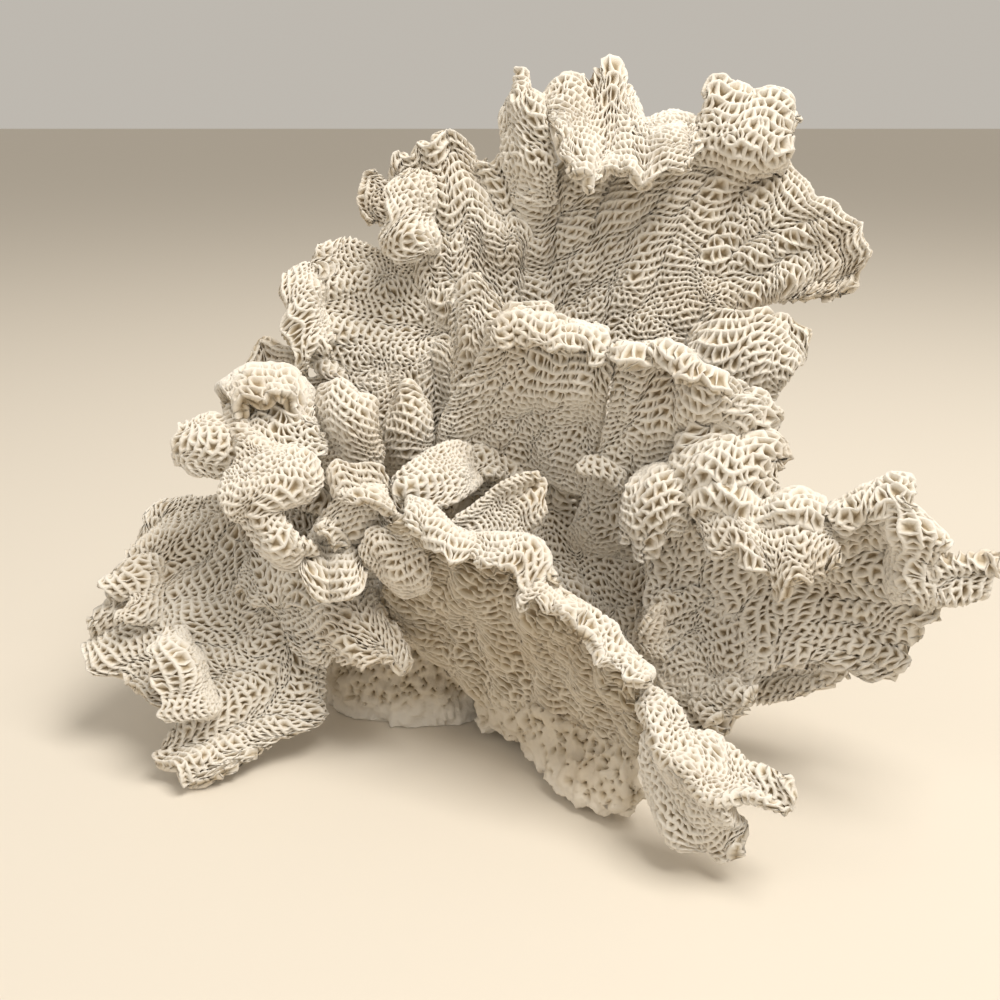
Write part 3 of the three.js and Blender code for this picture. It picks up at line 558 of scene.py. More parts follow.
grow("back_fan", 20,
    plate("main", (10, 6),
        [(18, 2, 60), (44, -2, 56), (64, 2, 54), (84, 22, 54)],
        [(12, 30, 60), (45, 25, 58), (75, 30, 56), (97, 48, 54)],
        [(8, 72, 55), (35, 74, 53), (60, 70, 51), (85, 74, 49), (106, 80, 48)],
        [(6, 104, 48), (30, 106, 46), (55, 104, 45), (80, 106, 43), (104, 98, 42), (124, 80, 42)],
        [(4, 136, 40), (20, 134, 38), (38, 138, 38), (54, 142, 37), (68, 144, 37),
         (82, 146, 36), (98, 147, 35), (112, 140, 35), (122, 129, 36), (127, 122, 35),
         (137, 118, 35), (146, 107, 35), (146, 94, 36), (138, 81, 38)]))
grow("back_fan", 40,
    plate("left_horn", (7, 5),
        [(5, 118, 44), (14, 116, 42), (24, 118, 40)],
        [(1, 138, 40), (11, 138, 32), (22, 140, 30)],
        [(0, 155, 38), (9, 156, 30), (18, 156, 27)],
        [(3, 163, 37), (7, 172, 34), (12, 169, 33), (16, 160, 31)]),
    plate("folded_lip", (7, 5),
        [(14, 146, 41), (28, 142, 43), (45, 140, 43), (62, 138, 40), (79, 138, 39)],
        [(18, 157, 33), (22, 163, 33), (27, 169, 34), (36, 168, 37), (44, 174, 36),
         (50, 162, 38), (56, 150, 35), (70, 153, 33), (80, 150, 33)],
        [(20, 150, 25), (26, 150, 24), (33, 150, 28), (42, 149, 31),
         (50, 142, 27), (58, 142, 24), (70, 146, 25), (80, 144, 28)],
        [(23, 146, 21), (26, 136, 18), (30, 126, 16), (35, 121, 16), (41, 129, 19),
         (49, 129, 20), (56, 124, 17), (64, 127, 17), (73, 132, 20), (81, 138, 26)]),
    plate("broad round_cap", (8, 6),
        [(78, 136, 38), (96, 129, 38), (114, 132, 37)],
        [(79, 146, 30), (97, 141, 26), (116, 139, 30)],
        [(80, 156, 29), (97, 154, 25), (118, 149, 29)],
        [(84, 162, 34), (92, 166, 34), (100, 167, 34), (110, 162, 34), (117, 154, 34)]),
    plate("broad low_bulge", (8, 6),
        [(72, 36, 52), (90, 34, 50), (108, 38, 48)],
        [(74, 56, 44), (95, 56, 36), (117, 50, 39)],
        [(77, 74, 45), (90, 79, 41), (104, 77, 41), (119, 72, 42), (125, 62, 42)]),
    plate("behind_knob", (7, 5),
        [(52, 138, 41), (72, 140, 40)],
        [(54, 150, 38), (74, 150, 37)],
        [(56, 153, 37), (64, 155, 36), (73, 152, 36)]),
    name="back_fan_folds")

# Upper left fan
# A tall narrow fan beside the back fan, of the same bare skeleton. It grew out of the same fork, and
# its margin hangs over in a flap at the front and a knob at the left.
grow("upper_left_fan", 40,
    plate("main", (9, 6),
        [(-22, 2, 56), (-6, 0, 55), (14, 2, 56)],
        [(-25, 58, 58), (-8, 56, 56), (12, 60, 56)],
        [(-34, 88, 51), (-12, 92, 49), (12, 95, 49)],
        [(-40, 116, 44), (-18, 120, 44), (0, 122, 45), (14, 120, 45)],
        [(-46, 132, 41), (-41, 141, 40), (-37, 138, 40), (-33, 143, 40), (-27, 140, 41), (-21, 146, 41),
         (-13, 144, 42), (-9, 138, 43), (-3, 132, 44), (3, 135, 43), (13, 128, 43)]),
    plate("flap", (6, 4),
        [(-28, 130, 42), (-26, 112, 43), (-26, 98, 45)],
        [(-35, 133, 33), (-36, 115, 30), (-31, 97, 34)],
        [(-41, 130, 30), (-46, 122, 26), (-46, 112, 26), (-49, 103, 28), (-42, 96, 30), (-36, 92, 32)]),
    plate("left_lobe", (7, 5),
        [(-36, 124, 46), (-38, 104, 48)],
        [(-48, 130, 44), (-50, 110, 46)],
        [(-49, 135, 43), (-56, 130, 43), (-60, 120, 43), (-56, 112, 44), (-51, 106, 45)]))

# Left fan
# A rounded fan lower down at the left, thin skeleton with its margin curled forwards. A small barb
# grew out of its face where it had been chipped and healed.
grow("left_fan", 60,
    plate("main", (9, 6),
        [(-20, 92, 57), (-16, 70, 58), (-22, 50, 60)],
        [(-44, 100, 51), (-44, 72, 54), (-42, 44, 56)],
        [(-62, 105, 46), (-64, 75, 48), (-56, 43, 52)],
        [(-75, 99, 42), (-78, 92, 40), (-80, 80, 40), (-80, 62, 42), (-74, 49, 46)]),
    plate("curled_edge", (6, 4),
        [(-72, 96, 42), (-71, 78, 44), (-66, 62, 46)],
        [(-81, 95, 35), (-79, 78, 32), (-74, 60, 35)],
        [(-86, 93, 36), (-89, 86, 33), (-86, 76, 32), (-88, 66, 33), (-84, 57, 33), (-78, 47, 36)]),
    plate("barb", (5, 3),
        [(-78, 72, 38), (-78, 60, 38)],
        [(-72, 68, 35), (-72, 58, 34)],
        [(-66, 58, 33), (-66, 55, 33)]))

# Far left frond
# A small frond that looks out from behind the left fan. It is the same skeleton, grown thin in the
# shade of the others.
grow("far_left_frond", 80,
    plate("main", (8, 5),
        [(-52, 6, 60), (-62, -12, 58)],
        [(-76, 30, 60), (-98, 30, 60)],
        [(-76, 44, 60), (-92, 50, 58), (-108, 40, 58)],
        [(-77, 55, 58), (-92, 64, 55), (-102, 56, 55), (-111, 47, 55)]))

# Left limb
# The thick limb that carries the curled pieces at the left, solid skeleton, with a plate that closed
# the gap behind it as the colony grew.
grow("left_limb", 100,
    plate("backing", (9, 6),
        [(-72, -6, 58), (-50, -10, 60), (-20, -4, 60)],
        [(-80, 26, 54), (-50, 28, 57), (-18, 34, 58)],
        [(-78, 50, 52), (-64, 56, 52), (-44, 54, 54), (-20, 64, 55)]),
    plate("main", (22, 14),
        [(-34, -22, 56), (-26, 14, 56)],
        [(-64, -10, 48), (-58, 24, 48)],
        [(-94, 6, 38), (-88, 28, 40)]))

# Cup lobe
# A frond that curled over and made a hood with a shallow cup under it. It is thin skeleton, grown
# fast at its rim, and it joins the limb along its back.
grow("cup_lobe", 120,
    plate("under hood", (9, 6),
        [(-96, 4, 40), (-80, 0, 44), (-66, 6, 42)],
        [(-108, 24, 34), (-88, 26, 44), (-72, 22, 42)],
        [(-112, 40, 26), (-100, 48, 30), (-86, 48, 32), (-73, 36, 34)],
        [(-110, 42, 12), (-102, 50, 14), (-92, 50, 13), (-82, 46, 15), (-74, 34, 20)],
        [(-103, 26, 2), (-99, 34, 3), (-92, 41, 4), (-85, 39, 5), (-79, 31, 8), (-70, 26, 14)]),
    plate("inside", (7, 6),
        [(-98, 17, 8), (-84, 14, 8), (-69, 17, 14)],
        [(-101, 30, 8), (-88, 28, 11), (-70, 27, 16)],
        [(-98, 37, 10), (-89, 42, 13), (-79, 35, 14), (-71, 29, 18)]))

# Left lobe
# The blunt lobe that sticks out furthest at this height, thick skeleton with wide valleys, grown out
# of the side of the hood.
grow("left_lobe", 140,
    plate("worn main", (8, 6),
        [(-100, 32, 18), (-98, 20, 14), (-102, 8, 18)],
        [(-113, 34, 12), (-112, 22, 4), (-110, 9, 12)],
        [(-122, 31, 10), (-123, 20, 3), (-120, 10, 8)],
        [(-127, 27, 9), (-133, 22, 6), (-132, 15, 6), (-126, 11, 8)]))

# Ribbon frond
# A narrow frond that folded back on itself as it grew, like a ribbon. It is thin bare skeleton and
# hangs from the hood down to the lower fan.
grow("ribbon_frond", 160,
    plate("worn main", (7, 5),
        [(-110, 36, 14), (-99, 37, 16)],
        [(-107, 27, 7), (-97, 27, 5)],
        [(-104, 20, 3), (-96, 21, 0), (-88, 20, 5)],
        [(-110, 9, 0), (-97, 13, -5), (-84, 15, -3), (-73, 15, 3)],
        [(-112, 3, -2), (-99, 3, -8), (-86, 5, -6), (-72, 5, 3)],
        [(-109, -6, -4), (-97, -5, -8), (-86, -3, -3)],
        [(-101, -12, -2), (-92, -12, -6), (-83, -11, -2)],
        [(-94, -20, 2), (-84, -19, -4), (-75, -18, 3)],
        [(-87, -26, 8), (-80, -26, 4), (-72, -22, 8)]))

# Inner left frond
# The first of the small fronds that fill the middle. They are stunted skeleton, short of light, and
# stand on the limb and the stock.
grow("inner_left_frond", 180,
    plate("worn main", (8, 5),
        [(-70, 8, 32), (-50, 6, 32)],
        [(-70, 24, 24), (-58, 23, 16), (-46, 20, 26)],
        [(-72, 37, 21), (-61, 37, 14), (-49, 31, 22)],
        [(-71, 43, 22), (-67, 47, 21), (-61, 48, 19), (-55, 41, 21), (-49, 33, 24)]))

# Inner knob
# A rounded knob of the same skeleton, all that grew here in the shade. It stands on the stock, and its
# valleys are worn.
grow("inner_knob", 200,
    plate("worn main", (9, 7),
        [(-46, 10, 44), (-30, 10, 44)],
        [(-46, 30, 37), (-36, 28, 32), (-27, 30, 37)],
        [(-43, 42, 36), (-36, 46, 35), (-29, 42, 36)]))

# Inner front frond
# A frond with a bright shelf and a knob below it, built up in three spurts of growth, each one
# over the worn edge of the one before.
grow("inner_front_frond", 220,
    plate("worn main", (8, 5),
        [(-62, -40, 50), (-40, -34, 50)],
        [(-70, -20, 24), (-50, -20, 22)],
        [(-73, -12, 9), (-60, -8, 5), (-44, -8, 9)],
        [(-67, 3, 4), (-55, 4, 0), (-44, 2, 6)],
        [(-71, 9, 5), (-66, 15, 4), (-60, 17, 3), (-52, 16, 4), (-44, 11, 7)]),
    plate("worn bright_shelf", (6, 5),
        [(-66, 8, 12), (-46, 6, 14)],
        [(-67, 4, 0), (-56, 3, -4), (-44, 1, 1)],
        [(-64, -2, -3), (-55, -3, -7), (-47, -6, -6), (-39, -5, -2)]),
    plate("worn knob", (7, 6),
        [(-64, -2, 16), (-56, -14, 18)],
        [(-69, -6, 4), (-62, -20, 8)],
        [(-72, -9, 0), (-74, -14, 0), (-69, -19, 2), (-63, -20, 4)]))

# Inner slant frond
# A little plate that leans to the left over the hollow in the middle, with worn rubble of the same
# skeleton cemented at its foot.
grow("inner_slant_frond", 240,
    plate("worn main", (7, 5),
        [(-10, 20, 38), (-8, 6, 38)],
        [(-19, 24, 26), (-16, 0, 20)],
        [(-31, 19, 16), (-23, -4, 11)],
        [(-40, 13, 12), (-33, -4, 8)],
        [(-45, 8, 12), (-41, 0, 9)]),
    plate("rubble", (9, 7),
        [(-18, 20, 38), (-16, 6, 38)],
        [(-5, 22, 38), (-6, 8, 34)],
        [(8, 13, 42), (5, 7, 40)]))

# Inner thin frond
# The thinnest plate of all, a sliver of skeleton that reached up slantwise to the light from the
# root of the front fan.
grow("inner_thin_frond", 260,
    plate("worn main", (6, 4),
        [(-36, -30, 46), (-22, -44, 46)],
        [(-32, -24, 26), (-20, -34, 26)],
        [(-26, -12, 14), (-15, -26, 15)],
        [(-10, -2, 9), (-1, -20, 15)],
        [(4, 9, 9), (12, -12, 17)],
        [(17, 12, 12), (20, 0, 17)]))

# Centre fan
# The broad fan in the middle. Its margin is thick, turned over forwards and lobed, because that is
# where the skeleton was laid down last. A horn stands up at its left end.
grow("centre_fan", 280,
    plate("main", (9, 6),
        [(-28, 16, 40), (-8, 16, 46), (16, 10, 48), (36, 0, 42)],
        [(-22, 38, 32), (2, 40, 30), (24, 38, 28), (42, 32, 25)],
        [(-8, 57, 21), (10, 58, 15), (28, 54, 13), (44, 48, 14)],
        [(-5, 65, 20), (2, 75, 18), (10, 78, 17), (18, 77, 16),
         (24, 72, 14), (31, 70, 13), (40, 69, 12), (45, 63, 12)]),
    plate("broad lip", (6, 4),
        [(0, 73, 22), (14, 75, 20), (28, 70, 17), (43, 67, 16)],
        [(-3, 68, 12), (4, 72, 9), (12, 72, 7), (19, 68, 6),
         (25, 63, 4), (31, 67, 5), (37, 65, 5), (43, 60, 7)],
        [(-4, 60, 10), (8, 63, 5), (18, 60, 3), (26, 57, 2), (34, 58, 2), (40, 48, 5)]),
    plate("side_horn", (7, 5),
        [(-20, 40, 42), (6, 42, 38)],
        [(-19, 66, 31), (-7, 64, 24), (4, 66, 25)],
        [(-22, 84, 26), (-17, 91, 25), (-8, 90, 22), (1, 77, 20)]))

# Centre right fan
# The middle fan's right half, which grew into steps: an upper lip, a shoulder that bulges to the
# side and an apron below. It is one plate of skeleton with its valleys running across.
grow("centre_right_fan", 300,
    plate("main", (9, 6),
        [(26, -16, 56), (44, -24, 54), (62, -18, 46)],
        [(32, 0, 42), (52, -8, 38), (74, -4, 32)],
        [(40, 22, 27), (60, 22, 18), (84, 18, 14)],
        [(44, 45, 14), (62, 46, 4), (84, 38, -1), (101, 30, 2)],
        [(45, 63, 10), (51, 60, 5), (57, 58, 2), (62, 60, 0), (67, 63, 0),
         (73, 60, -2), (80, 55, -4), (88, 49, -4), (98, 47, 0), (107, 41, 4)]),
    plate("spur", (6, 4),
        [(50, 12, 22), (48, 2, 24)],
        [(40, 18, 18), (40, 8, 20)],
        [(31, 17, 18), (31, 10, 19)]),
    plate("broad shoulder", (9, 7),
        [(72, -2, 24), (92, -6, 16), (108, -8, 12)],
        [(67, 11, 8), (90, 8, -9), (112, 3, -6)],
        [(70, 18, 7), (90, 20, -7), (113, 14, -3)],
        [(73, 25, 10), (86, 28, 6), (97, 30, 4), (106, 27, 4), (113, 20, 4), (117, 10, 4)]),
    plate("apron", (9, 6),
        [(60, 14, 26), (80, 8, 20)],
        [(52, 5, 12), (64, 8, 4), (79, 2, 4)],
        [(50, -6, 12), (62, -6, 2), (77, -8, 4)],
        [(48, -19, 14), (55, -26, 9), (61, -22, 8), (66, -17, 8), (76, -13, 9)]),
    plate("broad lip", (6, 5),
        [(46, 60, 12), (66, 60, 8), (88, 47, 6)],
        [(44, 60, 3), (51, 58, -2), (58, 57, -5), (64, 60, -7), (72, 56, -9), (82, 49, -10), (90, 45, -6)],
        [(44, 54, 4), (52, 53, -3), (60, 54, -6), (66, 51, -8), (74, 46, -10), (82, 42, -9), (89, 43, -4)]),
    plate("broad side_bulge", (8, 6),
        [(78, 32, 14), (98, 20, 14)],
        [(83, 40, 2), (98, 37, -4), (108, 25, 5)],
        [(90, 47, 2), (98, 48, 0), (105, 44, 2), (110, 37, 4), (111, 28, 8)]))

# Right fan
# The large bowl at the right, thin skeleton spread out to the light. Its margin is turned in at the
# top, one fold hangs into the bowl, and a worn knob sticks out at the far side.
grow("right_fan", 320,
    plate("broad main", (11, 6),
        [(58, -18, 26), (58, -38, 28), (60, -60, 28), (68, -80, 24)],
        [(80, -6, 8), (86, -30, 16), (88, -55, 18), (92, -78, 16)],
        [(106, -8, -8), (112, -28, 6), (115, -50, 8), (118, -66, 8)],
        [(132, -6, -18), (140, -25, -6), (142, -45, -4), (138, -68, 0)],
        [(166, 5, -26), (173, -10, -28), (176, -25, -27), (177, -40, -24),
         (171, -52, -18), (168, -61, -14), (156, -71, -8), (148, -73, -6)]),
    plate("broad top_lip", (6, 5),
        [(76, 0, 6), (84, 5, 1), (90, 8, -2), (97, 4, -5), (104, -3, -8),
         (112, -1, -10), (119, 2, -12), (126, 0, -15), (131, -3, -17)],
        [(75, -2, -4), (84, 1, -9), (91, 2, -13), (97, -4, -15), (104, -8, -17),
         (111, -4, -20), (118, -5, -22), (125, -8, -23), (130, -8, -24)],
        [(77, -10, -2), (90, -9, -8), (104, -15, -12), (118, -13, -16), (130, -14, -18)]),
    plate("far_lip", (6, 5),
        [(130, -3, -17), (138, 3, -20), (148, 7, -23), (157, 10, -26), (166, 9, -27)],
        [(131, -6, -24), (140, -4, -28), (150, -2, -31), (158, 1, -33), (166, 3, -32)],
        [(132, -12, -20), (145, -10, -25), (158, -8, -29)]),
    plate("worn hanging_fold", (8, 6),
        [(78, -4, 0), (91, -4, -8), (104, -10, -13), (118, -8, -17), (133, -10, -19)],
        [(79, -12, -5), (91, -14, -13), (104, -20, -18), (118, -20, -23), (135, -18, -23)],
        [(80, -16, 0), (88, -22, -8), (98, -21, -14), (106, -32, -18), (112, -39, -20),
         (118, -34, -23), (124, -37, -24), (130, -28, -24), (138, -24, -24)]),
    plate("side_curl", (7, 5),
        [(150, 2, -22), (155, -20, -13), (160, -42, -14)],
        [(160, 2, -34), (163, -20, -33), (166, -42, -27)],
        [(168, -5, -35), (174, -13, -35), (176, -24, -33), (178, -36, -30), (174, -48, -25)]),
    plate("knob", (13, 11),
        [(168, -24, -28), (170, -42, -26)],
        [(180, -22, -32), (182, -41, -29)],
        [(190, -21, -35), (190, -39, -31)],
        [(195, -21, -35), (199, -29, -34), (195, -36, -32)]),
    plate("left_flap", (6, 4),
        [(74, -42, 26), (74, -66, 26)],
        [(65, -39, 17), (63, -64, 20)],
        [(59, -43, 14), (55, -51, 13), (57, -61, 16)]),
    plate("lower_shelf", (8, 5),
        [(70, -72, 30), (96, -64, 16)],
        [(76, -83, 18), (99, -75, 6)],
        [(84, -93, 12), (90, -86, 6), (100, -83, 2), (106, -73, 2)]))

# Right lower fan
# A flat fan of the same skeleton under the bowl, grown out of the buttress in the shade. Little more
# than its edge is seen.
grow("right_lower_fan", 340,
    plate("main", (8, 5),
        [(44, -50, 50), (42, -76, 46)],
        [(84, -56, 34), (78, -80, 34)],
        [(112, -60, 24), (106, -82, 24)],
        [(142, -66, 12), (130, -76, 12)]))

# Right stem
# The stem that holds the bowl up. It is thicker and older skeleton than the bowl, and grew out of the
# buttress.
grow("right_stem", 360,
    plate("main", (14, 9),
        [(66, -36, 24), (82, -34, 20), (98, -42, 16)],
        [(54, -58, 28), (76, -60, 20), (103, -62, 13)],
        [(57, -76, 32), (78, -80, 24), (100, -81, 17)],
        [(64, -95, 26), (76, -101, 18), (86, -98, 12)]))

# Right buttress
# A short wall of solid skeleton between the stem and the stock. It grew where the load is, and is one
# with both.
grow("right_buttress", 380,
    plate("main", (20, 14),
        [(28, -44, 56), (36, -96, 48)],
        [(50, -42, 44), (56, -92, 34)],
        [(72, -40, 32), (74, -88, 28)]))

# Front fan
# The wing that comes forwards. What shows is the outside of it, where the ridges are fine, low and
# unbroken, because no polyps fed there. The margin is thick and knotted and turned over outwards.
grow("front_fan", 400,
    plate("under main", (11, 6),
        [(-40, -40, 56), (-10, -58, 58), (12, -72, 56), (36, -78, 40), (58, -90, 24)],
        [(-42, -50, 36), (-20, -64, 38), (5, -86, 40), (30, -97, 26), (50, -110, 8)],
        [(-48, -32, 20), (-15, -46, 18), (15, -64, 10), (40, -82, -2), (58, -98, -14)],
        [(-46, -14, 8), (-18, -28, 2), (10, -42, -6), (36, -62, -14), (56, -80, -24)],
        [(-38, -2, -2), (-20, -14, -8), (0, -20, -12), (17, -24, -16),
         (28, -40, -20), (42, -54, -24), (62, -72, -31)]),
    plate("worn lip", (7, 5),
        [(-38, 0, 2), (-30, -1, -1), (-19, -10, -3), (-2, -15, -7), (13, -17, -10), (19, -23, -12),
         (21, -34, -14), (29, -40, -17), (38, -46, -19), (46, -52, -21), (52, -61, -24), (63, -70, -27)],
        [(-38, -4, -6), (-28, -12, -9), (-18, -18, -11), (-4, -21, -14), (10, -22, -18), (16, -27, -19),
         (13, -36, -20), (22, -42, -22), (32, -47, -25), (40, -56, -27), (47, -64, -30), (60, -74, -34)],
        [(-36, -10, -7), (-27, -20, -11), (-19, -27, -13), (-11, -23, -17), (-3, -28, -19),
         (4, -31, -21), (8, -35, -21), (8, -41, -21), (10, -45, -22), (16, -43, -25),
         (23, -50, -27), (32, -54, -29), (36, -61, -31), (45, -68, -33), (57, -77, -36)]),
    plate("worn side_fold", (8, 5),
        [(-40, -38, 16), (-26, -36, 12)],
        [(-50, -28, 9), (-40, -25, 2), (-28, -24, 2)],
        [(-58, -18, 6), (-48, -11, 1), (-37, -5, -2)]))

# Front tip
# The end of the wing, a shelf with a toe below it. It is bright bare skeleton, the newest growth,
# and the shelf is scooped out along its middle.
grow("front_tip", 420,
    plate("worn shelf", (8, 5),
        [(58, -74, -22), (54, -80, -26)],
        [(68, -80, -26), (59, -92, -36)],
        [(76, -93, -30), (62, -102, -41)],
        [(88, -95, -33), (72, -111, -47)],
        [(98, -102, -38), (82, -121, -53)],
        [(107, -110, -44), (99, -119, -53)],
        [(115, -114, -48), (118, -121, -52), (111, -124, -55)]),
    plate("worn toe", (9, 6),
        [(60, -90, -27), (72, -106, -42), (90, -117, -48)],
        [(58, -106, -26), (72, -120, -38), (95, -126, -46)],
        [(61, -120, -22), (70, -131, -32), (84, -137, -38), (98, -131, -44)],
        [(64, -127, -21), (72, -136, -29), (84, -142, -36), (93, -144, -40), (97, -137, -43)]))

# Lower left fan
# The low fan at the left, thin skeleton that grew out flat over the rock and then drooped. Its left
# edge curls up, and a flap stands on its face.
grow("lower_left_fan", 460,
    plate("main", (10, 6),
        [(-72, -4, 66), (-64, -30, 58), (-58, -46, 54), (-56, -58, 52)],
        [(-98, 0, 60), (-86, -35, 46), (-73, -52, 42), (-72, -66, 42)],
        [(-116, 2, 58), (-112, -38, 42), (-95, -70, 32), (-70, -88, 36)],
        [(-134, 0, 52), (-132, -42, 38), (-115, -88, 24), (-91, -98, 26)],
        [(-146, -12, 48), (-142, -20, 46), (-149, -25, 42), (-155, -33, 40), (-157, -44, 38),
         (-166, -52, 36), (-169, -61, 34), (-160, -71, 31), (-148, -76, 28), (-138, -84, 23),
         (-131, -90, 20), (-138, -104, 14), (-126, -113, 13), (-115, -114, 12)]),
    plate("edge_curl", (6, 4),
        [(-136, -22, 42), (-134, -38, 38), (-136, -50, 34)],
        [(-146, -22, 34), (-145, -36, 28), (-147, -50, 27)],
        [(-154, -26, 34), (-156, -34, 33), (-150, -44, 27), (-158, -47, 28)]),
    plate("worn flap", (7, 5),
        [(-128, -50, 28), (-119, -68, 25), (-112, -86, 22)],
        [(-134, -52, 16), (-126, -68, 9), (-117, -88, 12)],
        [(-137, -54, 17), (-141, -62, 13), (-138, -72, 10), (-138, -80, 11), (-131, -88, 13)]))

# Lower lip
# A drooping lip of skeleton that grew out over the stock. The shelf above it is the same skeleton,
# eroded.
grow("lower_lip", 480,
    plate("main", (8, 5),
        [(-88, -34, 52), (-66, -30, 50), (-44, -28, 48)],
        [(-90, -42, 38), (-70, -38, 30), (-48, -38, 26)],
        [(-82, -58, 30), (-62, -55, 19), (-42, -50, 17)],
        [(-73, -67, 30), (-56, -62, 20), (-46, -64, 14), (-38, -69, 12), (-34, -58, 15)]),
    plate("worn eroded_shelf", (9, 6),
        [(-98, -18, 44), (-78, -22, 36)],
        [(-104, -30, 40), (-84, -34, 32), (-66, -32, 28)],
        [(-106, -40, 37), (-90, -45, 31), (-66, -45, 26)]))

# Middle lip
# A short lip, worn round, that hangs over the lower one. It is skeleton laid down on the old rock of
# the stock.
grow("middle_lip", 500,
    plate("worn main", (7, 5),
        [(-72, -8, 42), (-50, -8, 42)],
        [(-76, -14, 24), (-56, -14, 22)],
        [(-81, -26, 10), (-68, -28, 6), (-54, -28, 9)],
        [(-83, -28, 9), (-76, -36, 4), (-66, -41, 2), (-57, -40, 4), (-51, -32, 7)]))

# Centre wall
# The wall at the back of the hollow. It is the same skeleton, thicker than the fans, and joins the
# middle ones to the stock.
grow("centre_wall", 520,
    plate("main", (12, 9),
        [(5, -38, 38), (28, -50, 46), (50, -54, 42), (68, -52, 38)],
        [(-5, -18, 42), (22, -22, 56), (49, -26, 50), (66, -24, 42)],
        [(-2, 2, 46), (20, 6, 58), (46, 4, 52), (60, 2, 46)]))

# Rear low fan
# A low fan on the side that the viewpoint doesn't show, guessed from how such colonies grow: the same
# skeleton, spread backwards from the stock. Its points are in the frame's own millimetres.
grow("rear_low_fan", 540,
    plate("main", (10, 6),
        [(-50, 15, 25), (-5, 28, 12), (45, 22, 22)],
        [(-62, 38, 50), (-8, 44, 42), (54, 40, 48)],
        [(-70, 52, 82), (-40, 60, 95), (-5, 58, 78), (30, 62, 96), (62, 54, 80)], to_frame=tuple))

# Rear high frond
# A frond behind the middle fans, guessed in the same way. It is the same skeleton, and stands on the
# stock's crown.
grow("rear_high_frond", 560,
    plate("main", (9, 6),
        [(-10, 25, 80), (30, 25, 85)],
        [(-22, 40, 110), (38, 42, 112)],
        [(-30, 52, 135), (-8, 60, 148), (18, 56, 138), (44, 60, 150)], to_frame=tuple))

# Rear right frond
# A frond behind the bowl, guessed in the same way. It is the same skeleton, grown out of the stock's
# right side.
grow("rear_right_frond", 580,
    plate("main", (10, 6),
        [(45, 0, 40), (50, 15, 70)],
        [(85, 18, 50), (88, 28, 85)],
        [(112, 30, 62), (118, 38, 80), (104, 42, 108)], to_frame=tuple))


# Stock
# The lumpy foot that everything grew from. It is old dead skeleton, bored and porous, a few mounds grown
# together, and it was cut flat where it sat on rock.
# Each mound: its middle, then half of its size each way.
MOUNDS = [
    ((-36, 3, 0), (46, 42, 82)),
    ((24, 10, 0), (46, 38, 84)),
    ((14, 14, 40), (42, 22, 78)),
    ((-56, -6, 0), (27, 30, 62)),
]
ROCK_VOXEL = 1.3
# Each swell of the rock: its height and length, and how far its crests lean with y and along y.
SWELLS = [(2.0, 24, 0.4, 0), (1.3, 10, -1, 0.5), (0.9, 5, 1, -0.6), (0.45, 3, -0.5, 1)]
# Pores keep off the lowest rim, which is bright rubbed rock. Each widens at its mouth.
PORE_RADII, PORE_DEPTH, PORE_MOUTH = (0.6, 1.5), 2.6, 1.4
PORE_WALL = 0.7
RUBBED_HEIGHT = 9
# How brown the rock is: at its foot, then more for each millimetre up to DUST_HEIGHT, and in a pore,
# where the darkening is painted shade.
FOOT_SHADE, DUST_SHADE, DUST_HEIGHT, PORE_SHADE = 0.1, 0.03, 15, 0.45
ROCK_EDGE = math.radians(60)


def weather(piece, pore_count, wear, seed):
    """Wears a piece down to lumpy rock: its surface is grown together, swollen and bored with pores."""
    remesh = piece.modifiers.new("grown together", "REMESH")
    remesh.mode = "VOXEL"
    remesh.voxel_size = ROCK_VOXEL * MM
    bpy.ops.object.modifier_apply(modifier=remesh.name)
    count = len(piece.data.vertices)
    points = read(piece.data.vertices, "co", 3) / MM
    outwards = read(piece.data.vertices, "normal", 3)
    x, y, z = points.T
    broad, middling, small, crumbs = (
        height * ripple(x + lean * y, z + slope * y, seed + number, wave)
        for number, (height, wave, lean, slope) in enumerate(SWELLS)
    )
    swell = (broad + middling) + (small + crumbs)
    neighbours = KDTree(count)
    for number, point in enumerate(points):
        neighbours.insert(point, number)
    neighbours.balance()
    rng = np.random.default_rng(seed)
    bored = np.zeros(count)
    middles = rng.integers(0, count, pore_count)
    for middle, radius in zip(middles, rng.uniform(*PORE_RADII, pore_count)):
        if points[middle][2] < RUBBED_HEIGHT:
            continue
        for _, number, distance in neighbours.find_range(points[middle], radius * PORE_MOUTH):
            bored[number] = max(bored[number], 1 - PORE_WALL * distance / radius)
    points += outwards * (wear * swell - PORE_DEPTH * bored)[:, None]
    piece.data.vertices.foreach_set("co", (points * MM).ravel())
    # The pores are painted darker by how deep they are bored, which is painted shade.
    hollow = np.clip(FOOT_SHADE + DUST_SHADE * np.clip(z, 0, DUST_HEIGHT) + PORE_SHADE * bored, 0, 1)
    piece.data.attributes.new("hollow", "FLOAT", "POINT").data.foreach_set("value", hollow)
    bpy.ops.object.mode_set(mode="EDIT")
    bpy.ops.mesh.select_all(action="SELECT")
    bpy.ops.mesh.bisect(plane_co=(0, 0, 0), plane_no=(0, 0, 1), use_fill=True, clear_inner=True)
    bpy.ops.object.mode_set(mode="OBJECT")
    bpy.ops.object.shade_smooth_by_angle(angle=ROCK_EDGE)


bpy.ops.object.select_all(action="DESELECT")
mounds = []
for centre, half_sizes in MOUNDS:
    bpy.ops.mesh.primitive_uv_sphere_add(segments=48, ring_count=32, radius=1)
    mound = bpy.context.object
    mound.scale = [half_size * MM for half_size in half_sizes]
    mound.location = [middle * MM for middle in centre]
    mounds.append(mound)
for mound in mounds:
    mound.select_set(True)
bpy.ops.object.join()
bpy.ops.object.transform_apply(location=True, rotation=True, scale=True)
stock = bpy.context.object
stock.name = "stock_skin"
STOCK_PORES, STOCK_WEAR = 5000, 1
weather(stock, STOCK_PORES, STOCK_WEAR, 71)
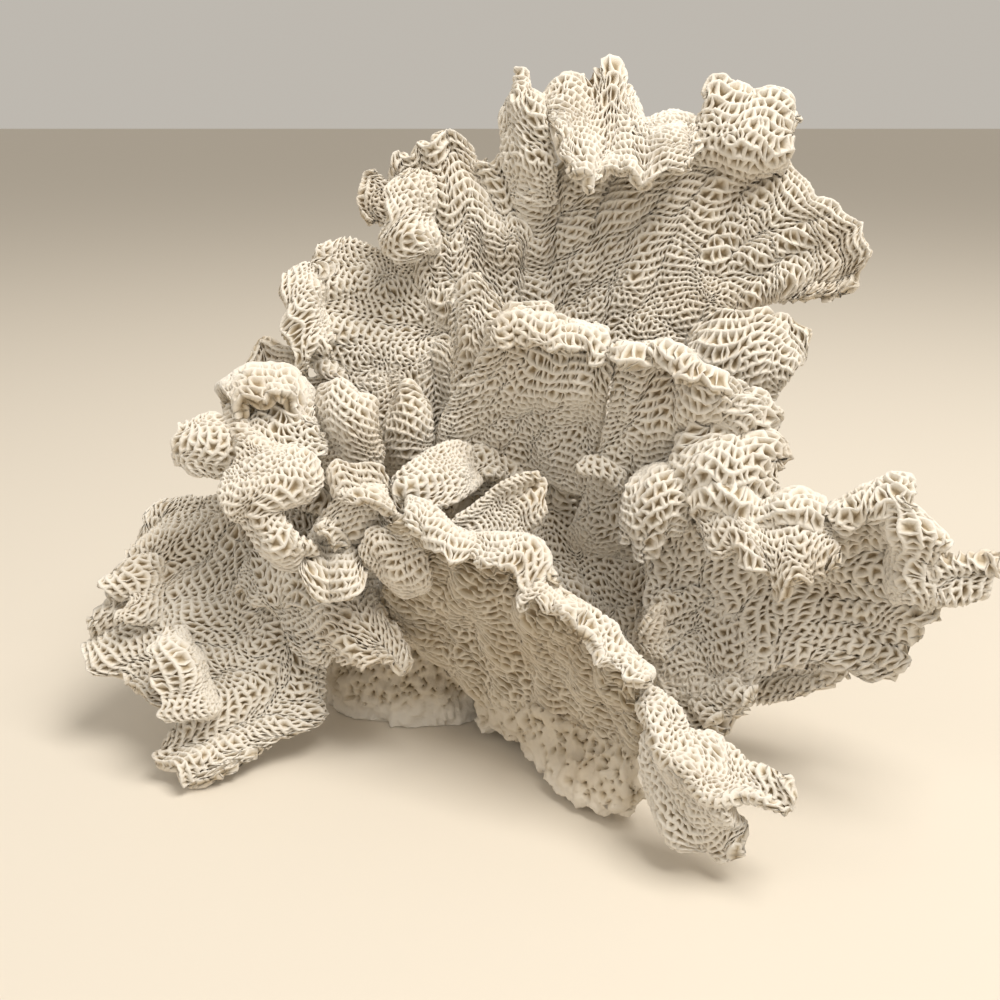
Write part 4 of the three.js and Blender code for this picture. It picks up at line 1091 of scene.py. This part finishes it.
# Aragonite again, but long dead and weathered: coarser in the grain, and painted darker and browner
# in its pores, which is painted shade.
PORE_SHADE_BROWN = "#6f5f48"
old_rock = aragonite("old porous skeleton", PORE_SHADE_BROWN, 1.6)
stock.data.materials.append(old_rock)
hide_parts("stock")
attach(stock, "root")

# Front keel
# The wing's worn foot. It is old skeleton bored through like the stock, laid down before the wing
# spread, and it trails along the wing's lower edge down to the rock.
KEEL_PORES, KEEL_WEAR = 500, 0.7
keel = grow("front_keel", 440,
    plate("main", (10, 7),
        [(-14, -66, 36), (8, -76, 27), (32, -86, 9), (56, -100, -12)],
        [(-10, -78, 42), (10, -90, 27), (29, -104, 7), (54, -112, -14)],
        [(-2, -86, 56), (10, -100, 34), (20, -110, 18), (31, -119, 7),
         (44, -125, -4), (52, -127, -10), (60, -118, -14)]),
    material=old_rock)
weather(keel, KEEL_PORES, KEEL_WEAR, 91)

# Floor and light
# A plain floor of pale matt paper, which takes a soft shadow and gives no reflection. The warm light comes
# from above, from the right and a little in front.
FLOOR_DROP = 0.0004
PAPER_CREAM, PAPER_ROUGHNESS = "#ded6c9", 0.9
LAMP_WHITE, ROOM_WHITE, ROOM_LIGHT = "#fffaf2", "#f2ebe0", 0.58
bpy.ops.object.select_all(action="DESELECT")
bpy.ops.mesh.primitive_plane_add(size=40, location=(0, 0, -FLOOR_DROP))
floor = bpy.context.object
floor.name = "floor"
bpy.ops.object.transform_apply(location=True, rotation=True, scale=True)
paper = bpy.data.materials.new("pale matt paper")
paper.use_nodes = True
paper_shader = paper.node_tree.nodes["Principled BSDF"]
paper_shader.inputs["Base Color"].default_value = linear(PAPER_CREAM)
paper_shader.inputs["Roughness"].default_value = PAPER_ROUGHNESS
floor.data.materials.append(paper)
LIT_MIDDLE = np.array([0, 0, 0.12])


def soft_light(name, stands_at, size, watts):
    way = np.array(stands_at) - LIT_MIDDLE
    tilt = math.acos(way[2] / np.linalg.norm(way))
    turn = math.atan2(way[1], way[0]) + math.pi / 2
    bpy.ops.object.light_add(type="AREA", location=stands_at, rotation=(tilt, 0, turn))
    light = bpy.context.object
    light.name = name
    light.data.size = size
    light.data.energy = watts
    light.data.color = linear(LAMP_WHITE)[:3]


soft_light("ceiling lamp", (0.55, -0.35, 1.6), 0.8, 26)
soft_light("second lamp", (-1.3, -0.5, 1.2), 0.7, 3)
world = bpy.data.worlds.new("room")
bpy.context.scene.world = world
world.use_nodes = True
room = world.node_tree.nodes["Background"]
room.inputs["Color"].default_value = linear(ROOM_WHITE)
room.inputs["Strength"].default_value = ROOM_LIGHT
bpy.context.scene.view_settings.view_transform = "Standard"
